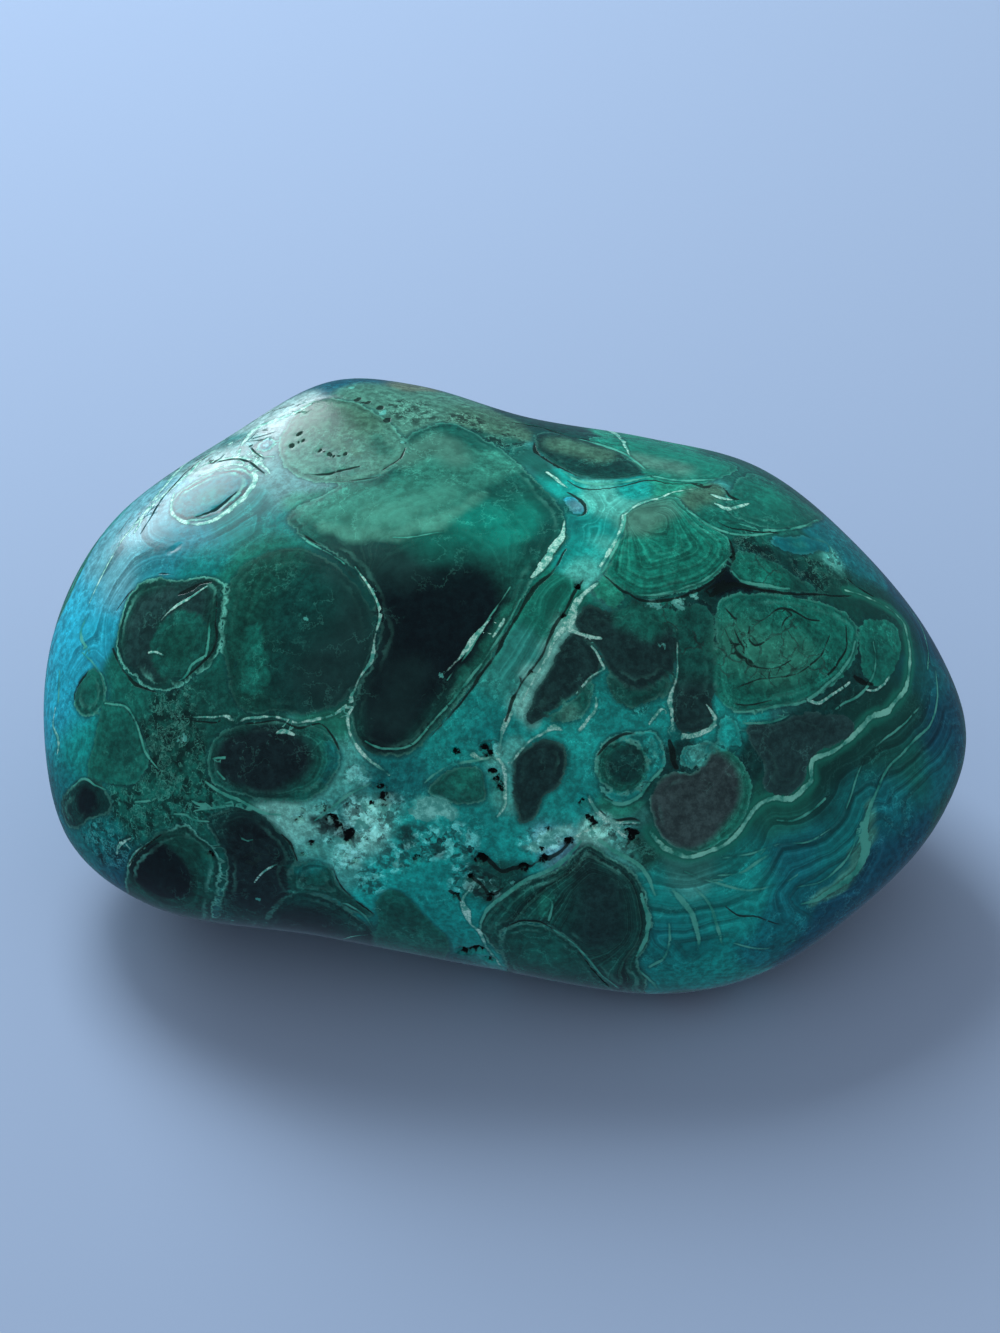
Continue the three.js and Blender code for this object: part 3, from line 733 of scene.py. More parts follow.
# %% Green veins of the seen side
green_veins = [
    [(-10.6, -3.8, 0.04), (-9.2, -4.5, 0.06), (-7.4, -4.2, 0.06), (-6.4, -3.5, 0.06), (-5, -1.9, 0.07),
     (-3.5, -0.2, 0.07), (-1.6, 2.2, 0.07), (0, 4.5, 0.07), (1.2, 6.8, 0.04)],
    [(-4.3, 0.7, 0.03), (-2.6, 3.1, 0.07), (-1.2, 5.3, 0.06), (0.4, 7.7, 0.03)],
    [(20.4, -9.8, 0.05), (21.6, -9.8, 0.08), (22.8, -9.2, 0.08), (24, -8.2, 0.08)],
    [(17.2, -1.6, 0.06), (19, -1.6, 0.08), (20.5, -1.2, 0.08), (22, -1.1, 0.1), (23, -0.6, 0.1),
     (24, 0.3, 0.1), (25, 1.2, 0.1), (25.9, 2.3, 0.08), (26.3, 3.6, 0.05)],
    [(17.8, -2.5, 0.05), (19.6, -2.5, 0.08), (21.4, -1.8, 0.06)],
    [(24.8, -1.4, 0.05), (26.2, -0.6, 0.08), (27.3, 0.5, 0.08), (27.8, 2, 0.05), (27.6, 3.6, 0.05)],
    [(12.5, -14.9, 0.08), (13.2, -15.9, 0.16), (13.8, -16.7, 0.18), (14.3, -17.7, 0.15), (14.6, -18.7, 0.1),
     (14.5, -19.5, 0.04)],
    [(14.2, -14.9, 0.03), (15.4, -16.2, 0.1), (15.9, -17.6, 0.12), (16.2, -19, 0.05)],
    [(3.6, -18, 0.04), (5, -19, 0.07), (6.2, -20.2, 0.08), (7.4, -21.5, 0.08), (9, -22.8, 0.05)],
    [(2.9, -15.4, 0.04), (3.5, -16, 0.08), (3.3, -17.3, 0.07)],
    [(10.3, -15.4, 0.08), (10.7, -17.3, 0.13), (10.5, -18.8, 0.12), (9.8, -20, 0.07)],
    [(12.2, -17.4, 0.03), (12.4, -18.8, 0.08), (11.8, -20.1, 0.13), (10.8, -20.8, 0.08)],
    [(10, -21, 0.04), (11, -21.9, 0.08), (11.6, -22.6, 0.04)],
    [(-22.2, 5.5, 0.04), (-22.2, 4, 0.1), (-22.5, 2.6, 0.08), (-23.5, 2, 0.09), (-23.9, 1.2, 0.09),
     (-24.5, 0.7, 0.04)],
    [(-24.9, -9.3, 0.05), (-24, -9.4, 0.08), (-23.4, -9.8, 0.08), (-22.2, -9.9, 0.04)],
    [(-23.6, -8.3, 0.04), (-22.8, -8.6, 0.1), (-21.8, -8.4, 0.04)],
    [(-23.4, -9.1, 0.03), (-22, -8.8, 0.07), (-20.6, -8.7, 0.07), (-19, -9.1, 0.04)],
    [(-22.6, -6.8, 0.05), (-21.2, -7.8, 0.12), (-19.8, -8.4, 0.12), (-18.2, -9.1, 0.1), (-16.8, -9.3, 0.05)],
    [(-21.6, -6, 0.05), (-21.1, -6.6, 0.08)], [(-21.9, -5.2, 0.04), (-20.9, -5.1, 0.07)],
    [(-20.1, -10.3, 0.05), (-19.7, -11.2, 0.06), (-18.9, -11.2, 0.04)],
    [(-27.7, -8.4, 0.04), (-26.6, -8.3, 0.08), (-25.9, -7.9, 0.06)],
    [(-13, -15.9, 0.04), (-11.8, -16.1, 0.09), (-10.6, -17, 0.08), (-10, -17.8, 0.04)],
    [(-14.4, -9.9, 0.05), (-12.9, -8.8, 0.08), (-11, -7.6, 0.08), (-9.9, -7, 0.03)],
    [(7.2, 8.8, 0.05), (8, 10.2, 0.08), (8.8, 11.7, 0.08), (9.1, 13.2, 0.08)],
    [(4.4, 16.4, 0.05), (5.5, 15.7, 0.12), (7, 15.4, 0.14), (8.5, 15.5, 0.12), (10, 15.8, 0.12),
     (11, 16, 0.05)],
    [(11, 16.1, 0.05), (12.2, 15.85, 0.1), (13.8, 15.7, 0.12), (15.9, 15.85, 0.05)],
    [(5.4, 18.9, 0.04), (7.2, 18.4, 0.12), (9, 17.7, 0.14), (10.5, 16.6, 0.05)],
    [(13.7, 13.5, 0.05), (14.6, 12.8, 0.1), (15.6, 12.2, 0.08), (16.9, 11.7, 0.08), (18.5, 11.6, 0.08),
     (20, 11.8, 0.05)],
    [(16.4, 12.7, 0.04), (18, 12.3, 0.08), (20, 12, 0.08), (22, 12.2, 0.08), (23.6, 12.8, 0.05)],
    [(16.9, 9, 0.05), (17.7, 8.1, 0.1), (19.4, 7.8, 0.1), (21.4, 7.65, 0.06)],
    [(9.6, 7.2, 0.04), (11.5, 7.1, 0.07), (13.5, 7.7, 0.08), (15.4, 8.6, 0.08), (16.7, 9.8, 0.06)],
    [(-31.7, 2.8, 0.04), (-30.9, 2, 0.08), (-30.2, 1, 0.06), (-30, 0, 0.03)],
    [(-31.3, 5.6, 0.04), (-31.8, 4.2, 0.14), (-31.2, 3, 0.05)],
    [(-33.4, 1.5, 0.06), (-33.5, -1, 0.08)],
    [(-32.8, -7.6, 0.05), (-31.7, -6.6, 0.08), (-30.8, -7.1, 0.06), (-30, -7.5, 0.04)],
    [(-30, -1, 0.03), (-28.6, -1.2, 0.07), (-27.6, -2.6, 0.08), (-27, -4.6, 0.07), (-26, -6, 0.03)],
    [(-6, -6.9, 0.04), (-4.5, -5.9, 0.08), (-2.6, -5.4, 0.1), (-1, -5.2, 0.06)],
    [(-1.7, -17.5, 0.08), (-1.2, -16.4, 0.12), (0.2, -15.3, 0.14), (2, -14, 0.12), (4, -13.1, 0.16),
     (5, -12.2, 0.14), (5.7, -11.3, 0.1)],
    [(7, -11.2, 0.1), (8.3, -12.1, 0.16), (9.6, -12.8, 0.14), (10.6, -13.9, 0.1), (11.3, -15.4, 0.05)],
    [(11.9, -6, 0.07), (10.9, -7, 0.09), (10, -8.1, 0.1), (8.6, -8.6, 0.1), (7.4, -8.2, 0.04)],
    [(10.6, -9.5, 0.05), (11.2, -10.8, 0.09), (12.2, -11.9, 0.09), (13.6, -12.3, 0.05)],
    [(15.8, -13.9, 0.05), (17.6, -13.8, 0.09), (19, -12.9, 0.1), (20.3, -12.2, 0.04)],
    [(-8.6, 11.4, 0.03), (-7, 11.5, 0.05), (-5.4, 11.8, 0.05), (-4.4, 11.9, 0.02)],
    [(-15.7, 11.8, 0.08), (-14.6, 11, 0.06), (-13, 10.1, 0.05), (-12, 9.4, 0.03)],
    [(30.4, 6, 0.06), (31.2, 4.8, 0.08), (31.7, 3.2, 0.07), (31.7, 1.6, 0.05)],
    [(31.2, -1, 0.03), (30, -2.5, 0.06), (28.5, -3.6, 0.06), (27.1, -5.1, 0.05), (26.2, -7.1, 0.06),
     (25.6, -8.9, 0.05)],
    [(26.4, -10.2, 0.03), (26, -12, 0.06), (25, -13.4, 0.08), (23.6, -14.4, 0.06), (21.8, -14.8, 0.03)],
    [(16.4, -12.6, 0.03), (18.4, -12.3, 0.05), (20.6, -11.6, 0.05), (22.6, -11.4, 0.05), (24.4, -10.4, 0.03)],
    [(13.4, -13.6, 0.03), (15.6, -14.4, 0.06), (18, -15, 0.07), (20.4, -14.6, 0.05), (22, -13.8, 0.03)],
    [(17, -19, 0.03), (19.4, -19.4, 0.06), (21.8, -18.8, 0.05)],
]
swirl_vein = [
    (32.3, 1.5, 0.04), (32.5, -0.6, 0.07), (32, -2.3, 0.1), (31, -3.5, 0.1), (29.9, -4.6, 0.1),
    (28.8, -5.7, 0.09), (28, -7.4, 0.1), (27.3, -9, 0.18), (26.9, -10.6, 0.3), (27, -12, 0.42),
    (26.6, -13.2, 0.36), (25.8, -14.2, 0.42), (24.6, -15, 0.3), (23.4, -15.7, 0.16), (22.2, -16.1, 0.05)]
wavy_vein = [
    (10.8, -10.5, 0.06), (12, -12, 0.12), (13.5, -12.5, 0.13), (15, -12.2, 0.13), (16.5, -11.7, 0.15),
    (17.5, -10.8, 0.15), (18.3, -9.5, 0.15), (19.2, -8.6, 0.17), (20.3, -8.1, 0.18), (21.5, -8.1, 0.2),
    (22.5, -7.4, 0.2), (23, -6.8, 0.16), (23, -5.8, 0.17), (23.3, -5.1, 0.18), (24.2, -4.8, 0.18),
    (25, -4.3, 0.14), (26, -3.5, 0.16), (26.8, -2.7, 0.2), (27.5, -2, 0.2), (28.6, -1.7, 0.17),
    (29.3, -0.8, 0.15), (30, 0, 0.14), (30.3, 1.2, 0.13), (30.4, 2.5, 0.12), (30.2, 3.8, 0.12),
    (29.9, 5, 0.12), (29, 6, 0.1), (27.5, 6.8, 0.08), (25.5, 7.5, 0.06)]
green_veins += [swirl_vein, wavy_vein]
print(len(green_veins), "green veins")

# %% Dark cracks of the seen side
cracks = [
    [(-5.6, -3.6, 0.02), (-3.9, -1.6, 0.08), (-2.2, 0.6, 0.1), (-0.4, 3.2, 0.12), (1.2, 6, 0.14),
     (2.4, 7.8, 0.16), (3.7, 9, 0.12), (4.6, 10.6, 0.06)],
    [(0, -2.4, 0.08), (0.6, -0.7, 0.12), (1.3, 0.4, 0.06), (2, 1.5, 0.12), (2.9, 3, 0.07), (3.6, 4.6, 0.12),
     (4.5, 6, 0.1), (5.2, 7.3, 0.1), (5.9, 8.2, 0.05)],
    [(1.1, 1, 0.05), (1.5, 0.5, 0.06)],
    [(24.4, 4.2, 0.03), (24, 3, 0.06), (23.1, 2.1, 0.07), (21.6, 1.1, 0.06), (19.4, 0.8, 0.05),
     (17, 0.1, 0.04)],
    [(16.4, 4.7, 0.03), (17.2, 3.2, 0.07), (18.3, 1.9, 0.06), (20, 1.6, 0.04), (21.6, 2.4, 0.03)],
    [(15.4, 7.1, 0.12), (16.4, 7.6, 0.35), (17.4, 7.8, 0.2), (19, 7.5, 0.1), (21, 7.3, 0.1), (24, 7.1, 0.08),
     (26, 7, 0.06)],
    [(16.5, 6.2, 0.04), (17.3, 5.4, 0.08), (18.2, 5.7, 0.04)],
    [(18.4, 5.6, 0.04), (19.2, 5.2, 0.07), (20.4, 6.1, 0.07), (21.5, 6, 0.09), (22.6, 5.4, 0.07),
     (23.6, 5.2, 0.04)],
    [(17.2, 4.6, 0.04), (17.6, 3.8, 0.09), (18, 3.2, 0.1), (17.9, 2.7, 0.04)],
    [(18.4, 4.8, 0.04), (18.4, 3.8, 0.06), (18.9, 3.3, 0.06), (19.7, 3.7, 0.03)],
    [(16.2, 2.9, 0.03), (17.5, 2.7, 0.06), (18.6, 2, 0.07), (18.3, 1.4, 0.03)],
    [(20.7, 4.4, 0.03), (21, 5.2, 0.05), (21.6, 5.6, 0.03)], [(22.3, 3, 0.03), (22.5, 3.8, 0.05),
     (22.9, 4.1, 0.03)],
    [(17, -0.9, 0.04), (18.6, -1.1, 0.06), (20.4, -0.7, 0.05)],
    [(23.8, 0.8, 0.04), (24.8, 1.8, 0.08), (25.7, 3.2, 0.07), (25.6, 4.8, 0.04)],
    [(9.1, 7.4, 0.1), (10, 6.8, 0.12), (11.4, 6.6, 0.1), (13, 6.9, 0.1), (15, 7.8, 0.12), (16.6, 9, 0.08)],
    [(7.4, 8.6, 0.03), (8.2, 7.9, 0.08), (9.2, 7.2, 0.1)],
    [(-23.2, 12.95, 0.05), (-22.1, 13.35, 0.15), (-21.2, 13.9, 0.15), (-20, 14.9, 0.06)],
    [(-27.4, 11.6, 0.04), (-25.8, 14.2, 0.08), (-24.2, 16.1, 0.09), (-22.6, 17.4, 0.08), (-20.8, 18.1, 0.05)],
    [(-21.2, 19.8, 0.04), (-19.4, 20.4, 0.08), (-17.6, 20.9, 0.09), (-15.8, 21.4, 0.05)],
    [(-22.2, 17, 0.05), (-20.6, 17.3, 0.1), (-19.2, 17.1, 0.09), (-18, 16.2, 0.05)],
    [(-22.2, 17.2, 0.04), (-21.5, 17.3, 0.07), (-20.9, 17.8, 0.03)],
    [(-19.2, 18.3, 0.07), (-18.6, 17.6, 0.06), (-18, 17.3, 0.03)],
    [(-19, 18.8, 0.05), (-18, 19.1, 0.05), (-17.2, 19.4, 0.03)],
    [(-29.9, 10.2, 0.03), (-28.8, 12, 0.06), (-27.9, 13.2, 0.03)],
    [(-15, 16.15, 0.04), (-13.6, 16.2, 0.1), (-12, 16.6, 0.12), (-10.8, 16.8, 0.06)],
    [(-13, 15.7, 0.02), (-11.5, 15.7, 0.06), (-9.6, 16, 0.04)],
    [(-9.2, 16.5, 0.05), (-8, 17.3, 0.08), (-7.5, 18.2, 0.03)],
    [(-15.7, 12.1, 0.03), (-14.8, 11.4, 0.08), (-13.6, 10.7, 0.03)],
    # Painted shadow: a dark line above the painted highlight in the left eye.
    [(-24.6, 7.2, 0.05), (-23.8, 7.5, 0.2), (-22.9, 7.9, 0.12), (-22, 8, 0.03)],
    [(-21.6, 6.6, 0.04), (-21.7, 5, 0.1), (-21.6, 3.8, 0.1), (-22.1, 2.7, 0.08), (-23.2, 1.7, 0.09),
     (-24, 0.9, 0.04)],
    [(-29.1, 6, 0.03), (-28, 7.4, 0.08), (-26.6, 8.6, 0.07), (-25, 8.7, 0.03)],
    [(-29.4, 3, 0.1), (-28.9, 1.8, 0.07), (-28, 0.7, 0.14), (-27.2, 0.1, 0.06), (-25.5, -0.3, 0.04)],
    [(-20.9, -2.3, 0.05), (-20.4, -2.9, 0.1), (-19.2, -2.5, 0.07), (-17, -2.4, 0.05), (-15.4, -2.8, 0.08),
     (-13.8, -2.6, 0.05), (-12.9, -3.7, 0.08), (-12.4, -4.6, 0.04)],
    [(-24.2, -2.3, 0.02), (-22, -2.4, 0.06), (-21.2, -2.2, 0.04)],
    [(2.5, -12.8, 0.08), (3.4, -12.6, 0.2), (4.2, -12.1, 0.12), (4.9, -11.2, 0.18)],
    [(12.3, -3.6, 0.12), (12.5, -4.6, 0.24), (12.9, -5.8, 0.14)],
    [(6.9, -5, 0.05), (7.6, -4.1, 0.1), (8.8, -3.3, 0.1), (9.7, -3.2, 0.03)],
    [(7, -9, 0.05), (8, -9.7, 0.1), (9.6, -9.7, 0.12), (10.2, -9.9, 0.04)],
    [(-32.3, -0.8, 0.06), (-32.2, 0, 0.1), (-31.6, 1.1, 0.08), (-31.1, 1.7, 0.03)],
    [(-16.9, -10.6, 0.05), (-16, -11.6, 0.1), (-15.5, -12.8, 0.06)],
    [(-13, -13.1, 0.03), (-12.5, -14.4, 0.08), (-11.4, -15.7, 0.1), (-10, -16.8, 0.05)],
    [(-28.4, -13.4, 0.03), (-27.4, -12, 0.1), (-25.8, -10.8, 0.05)],
    [(-0.3, -18.3, 0.04), (0.8, -17.4, 0.07), (2.4, -17.3, 0.08), (3.5, -17.9, 0.05)],
    [(5.4, -19.6, 0.03), (6.6, -21, 0.07), (8.4, -22.9, 0.06)],
    [(4.7, 15.7, 0.05), (5.8, 15.1, 0.09), (7.5, 15.05, 0.06), (9, 15.3, 0.08), (10.7, 15.7, 0.1),
     (12.6, 15.5, 0.07), (14.6, 15.5, 0.05)],
    [(4.5, 14.9, 0.05), (5.3, 14.5, 0.12), (6, 13.9, 0.14), (5.9, 13.2, 0.1), (5.2, 13, 0.05)],
    [(13.9, 15.5, 0.05), (15, 15.2, 0.2), (15.6, 15.4, 0.04)], [(16.3, 15.2, 0.05), (17, 14.5, 0.14),
     (17.6, 14.3, 0.03)],
    [(2.1, 18.6, 0.05), (2.4, 17.8, 0.18), (3.8, 16.9, 0.14), (5.4, 16.1, 0.06)],
    [(0.4, 20.1, 0.05), (2.6, 19.7, 0.1), (4.9, 19, 0.07), (6.6, 18.8, 0.02)],
    [(14.9, 13.6, 0.03), (16.4, 12.3, 0.07), (18.6, 11.9, 0.07), (20.6, 11.8, 0.04)],
    [(16.8, 11.2, 0.05), (17.2, 10, 0.16), (16.9, 9.3, 0.05)],
    [(26.2, 1, 0.12), (26.8, 0.6, 0.2), (27.6, 0.4, 0.08)],
    [(25.2, 8.8, 0.04), (26.3, 7.8, 0.1), (27.8, 6.9, 0.08), (29.2, 5.8, 0.04)],
    [(16.5, -16.2, 0.03), (17.6, -16.9, 0.08), (19, -17.1, 0.06), (20.6, -17.6, 0.03)],
    [(-4.1, -15.1, 0.1), (-3.5, -15.6, 0.12), (-3.2, -15.9, 0.04)],
    [(-2, -12.7, 0.1), (-1.3, -12.7, 0.2), (-0.3, -13.6, 0.16), (0.8, -13.4, 0.22), (1.9, -13.2, 0.12),
     (2.4, -12.7, 0.05)],
    [(-2.7, -14, 0.15), (-1.8, -14.6, 0.1), (-1.1, -15.5, 0.14), (-0.2, -14.9, 0.07)],
]
pinholes = [(-19.1, 18.2, 0.08), (-15.4, 19.2, 0.11), (-16, 18.3, 0.12), (-15.1, 18.7, 0.06),
            (-14, 17.9, 0.11), (-13.2, 17.7, 0.1), (-12.9, 17.5, 0.06), (-12, 17.7, 0.09),
            (-9.5, 21.1, 0.12), (-10.3, 21.5, 0.1), (-9, 20.2, 0.16), (-11, 21.8, 0.1)]
cracks += [[(u, v, 1.8 * radius), (u + 0.1, v + 0.1, 1.6 * radius)] for u, v, radius in pinholes]
print(len(cracks), "cracks and pinholes")


# %% Veins of the far side
def wandering(start, links, length, width):
    """A vein that wanders over the stone from there, link by link, as rows of x, y, z and half width."""
    place = np.array(start)
    heading = random_step(1)
    rows = []
    for link in range(links):
        rows.append((*place, width * math.sin(math.pi * (link + 0.5) / links)))
        heading = heading / np.linalg.norm(heading) + 0.45 * random_step(1)
        place = pulled_to_stone(place + length * heading / np.linalg.norm(heading))
    return smooth_path(rows)


far_veins = [wandering(points[shuffle.choice(far_points)], shuffle.randint(8, 18), 2.2,
                       shuffle.uniform(0.1, 0.34)) for vein in range(12)]
far_cracks = [wandering(points[shuffle.choice(far_points)], shuffle.randint(4, 8), 1.6, 0.1)
              for crack in range(9)]
far_white, far_green = far_veins[:5], far_veins[5:]
print(len(far_veins), "veins and", len(far_cracks), "cracks on the far side")

# %% [markdown]
# ## Lines thinner than the mesh
#
# Many veins are thinner than the gap between two mesh points, and a plain distance to them would be cut off
# there: it never falls to nought between two points that lie on either side. So the points keep an arrow from
# the nearest place of the line to themselves. Between two points on either side the arrow shrinks, turns
# round and passes through nought just on the line, and its length is the distance a thin line needs.

# %% Arrows to the lines
def line_measures(rows_of_lines, reach=2.0):
    """For every point: how far off the nearest line is, less its half width; the arrow; the half width."""
    nearest = np.full(count, reach)
    arrows = np.full((count, 3), reach)
    widths = np.zeros(count)
    for rows in rows_of_lines:
        where = near(rows[:, :3], reach)
        at = measured[where]
        for a, b, wa, wb in zip(rows[:-1, :3], rows[1:, :3], rows[:-1, 3], rows[1:, 3]):
            along, arrow = from_link(at, a, b)
            width = wa + (wb - wa) * along
            away = np.linalg.norm(arrow, axis=1) - width
            closer = away < nearest[where]
            chosen = where[closer]
            nearest[chosen], arrows[chosen], widths[chosen] = away[closer], arrow[closer], width[closer]
    return nearest, arrows, widths


def laid_lines(lines):
    """Traced lines made smooth and laid on the stone."""
    return [laid(smooth_path(line)) for line in lines]


seen_green = laid_lines(green_veins)
swirl_rows, wavy_rows = seen_green[-2:]
# The white vein measure also carries the painted highlights and glints among the white lines.
white_vein, white_arrow, white_width = line_measures(laid_lines(white_veins_and_highlights) + far_white)
green_vein, green_arrow, green_width = line_measures(seen_green + far_green)
crack, crack_arrow, crack_width = line_measures(laid_lines(cracks) + far_cracks)
wavy = line_measures([wavy_rows, far_green[1], far_green[3]], reach=4.0)[0]
print("on a vein:", int(((white_vein < 0) | (green_vein < 0)).sum()), "points;",
      "in a crack:", int((crack < 0).sum()))

# %% [markdown]
# ## Bands in the ground
#
# The chrysocolla between the nodules settled in bands that follow the walls of whatever it filled. So the
# bands need a measure of how far the walls are: the distance from each point to the nearest outline or great
# vein, found with a search tree. Low on the right the bands instead sweep along the long wavy vein. The
# material later runs a noise along that distance.

# %% Distance to the walls
walls = list(outline_places)
for rows in [swirl_rows, wavy_rows] + far_white + far_green[:2]:
    walls.extend(rows[:, :3])
tree_of_walls = kdtree.KDTree(len(walls))
for i, place in enumerate(walls):
    tree_of_walls.insert(Vector(place), i)
tree_of_walls.balance()
flow = np.array([tree_of_walls.find(Vector(place))[2] for place in measured])
beside_wavy = line_measures([wavy_rows], reach=18.0)[0]
swept_spots = [(24, -11, 7), (31, -4, 6), (14, -16, 5), (31, 4, 3)]
swept = np.zeros(count)
for u, v, reach in swept_spots:
    away = np.linalg.norm(measured - on_stone(u, v), axis=1)
    swept = np.maximum(swept, np.clip(1.7 * np.exp(-(away / reach)**2), 0, 1))
flow = flow * (1 - swept) + beside_wavy * swept
print("the widest open ground lies", round(float(flow[depth < 0].max()), 1), "mm from a wall")

# %% [markdown]
# ## Pits and crumbs
#
# Where the filling was soft, the tumbler plucked grains out of it and left small black pits. Beside them
# stand pale crumbs of harder crust, and a few more pale balls are painted glints. Both are balls of a
# fraction of a millimetre, with the same kind of distance.

# %% Pits and crumbs
pits = [
    (-9.4, -7.3, 0.35), (-9.1, -7.9, 0.28), (-9.2, -8.4, 0.22), (-10.2, -8.6, 0.2), (-12.9, -9.7, 0.35),
    (-13.2, -9.5, 0.2), (-12.5, -10.2, 0.25), (-11.8, -10.8, 0.4), (-11.9, -11.4, 0.2), (-13.7, -8.7, 0.2),
    (-15.1, -9.1, 0.16), (-15.4, -9.6, 0.2), (-15.8, -8.5, 0.12), (-14.4, -11.5, 0.25), (-15.1, -12.3, 0.14),
    (-12.2, -12.4, 0.16), (-11.2, -12.9, 0.12), (-10.2, -14.3, 0.12), (-9.6, -13.9, 0.12), (-6.6, -12.7, 0.2),
    (-1.7, -12.7, 0.4), (-2.6, -14.1, 0.2), (1.4, -13.3, 0.3), (-3.6, -15.5, 0.2), (-1, -15.6, 0.2),
    (3, -12.7, 0.3), (4.6, -11.4, 0.3), (3.2, -10.4, 0.14), (2.7, -11.9, 0.14), (5.9, -8.3, 0.28),
    (6.3, -9.6, 0.25), (6.6, -10, 0.2), (9.8, -10.9, 0.42), (9.2, -10.5, 0.16), (-0.9, -6.2, 0.22),
    (-0.6, -6.7, 0.25), (-0.4, -7.2, 0.2), (-3.7, -4.6, 0.28), (-1.6, -4.3, 0.25), (-1.2, -4.7, 0.2),
    (0.6, -0.6, 0.12), (2, 1.3, 0.12), (5.5, 7.8, 0.18), (4.2, 5.6, 0.12), (-22.2, -12.3, 0.22),
    (-3, -19.6, 0.5), (-2, -19.5, 0.5), (-1.1, -20.2, 0.35), (17.1, 10, 0.16), (-24.7, 10.7, 0.12)]
crumbs_and_glints = [
    (-4.7, 1.1, 0.22), (-5.8, -8.8, 0.9), (-4.9, -8.9, 0.8), (-4.2, -9.3, 0.5), (-6.6, -9.3, 0.5),
    (-10.9, -10.2, 0.5), (-10.4, -8.7, 0.4), (-9.2, -9.1, 0.3), (-12.4, -11.5, 0.4), (-8.1, -13.1, 0.3),
    (3, -11.2, 0.7), (4.2, -10.7, 0.5), (2.2, -11.8, 0.5), (11, 6.6, 0.3), (11.5, 6.3, 0.3), (12.9, 6.6, 0.4),
    # The crumb at (-20.4, -17.3) is a painted glint.
    (14.2, 7, 0.4), (13.2, 6.15, 0.2), (-24.2, -3.7, 0.35), (-20.4, -17.3, 0.16), (6.9, -9.8, 0.4),
    (6.4, -10.6, 0.35), (9.2, -11, 0.25), (11.8, 3.5, 0.14), (17.6, 10.2, 0.13), (17, 8.8, 0.13),
    # The first three crumbs here are painted glints by the pinholes of the top eye.
    (-9.3, 20.8, 0.28), (-11.6, 22.6, 0.2), (-7.7, 18.6, 0.12), (-9.8, -16.3, 0.2), (24.6, 9.4, 0.3),
    (25.1, 9.1, 0.22), (24, 9.8, 0.3), (-10.6, -6, 0.25), (-11, -6.8, 0.2), (-15, 5.2, 0.1),
    (-9.8, 7.6, 0.14), (0.6, -14.5, 0.14), (-1.2, -15.2, 0.12), (-18.4, -15.7, 0.12)]
far_sand = [(*points[shuffle.choice(far_points)], shuffle.uniform(3, 5.5)) for patch in range(5)]


def strewn(patch, low, high):
    """A ball of some radius between low and high, dropped on the stone near a patch's middle."""
    *middle, reach = patch
    place = pulled_to_stone(np.array(middle) + 0.5 * reach * random_step(1))
    return (*place, shuffle.uniform(low, high))


far_pits = [strewn(patch, 0.12, 0.5) for patch in far_sand for pit in range(8)]
far_crumbs = [strewn(patch, 0.2, 0.6) for patch in far_sand for crumb in range(5)]


def distance_to_balls(balls, reach=1.0):
    """The distance from every point to the surface of the nearest ball, negative inside it."""
    nearest = np.full(count, reach)
    for *middle, radius in balls:
        where = near(np.array([middle]), reach + radius)
        away = np.linalg.norm(measured[where] - middle, axis=1) - radius
        nearest[where] = np.minimum(nearest[where], away)
    return nearest


pit = distance_to_balls([*laid(pits), *far_pits])
crumb = distance_to_balls([*laid(crumbs_and_glints), *far_crumbs])
print("in a pit:", int((pit < 0).sum()), "points; on a crumb:", int((crumb < 0).sum()))
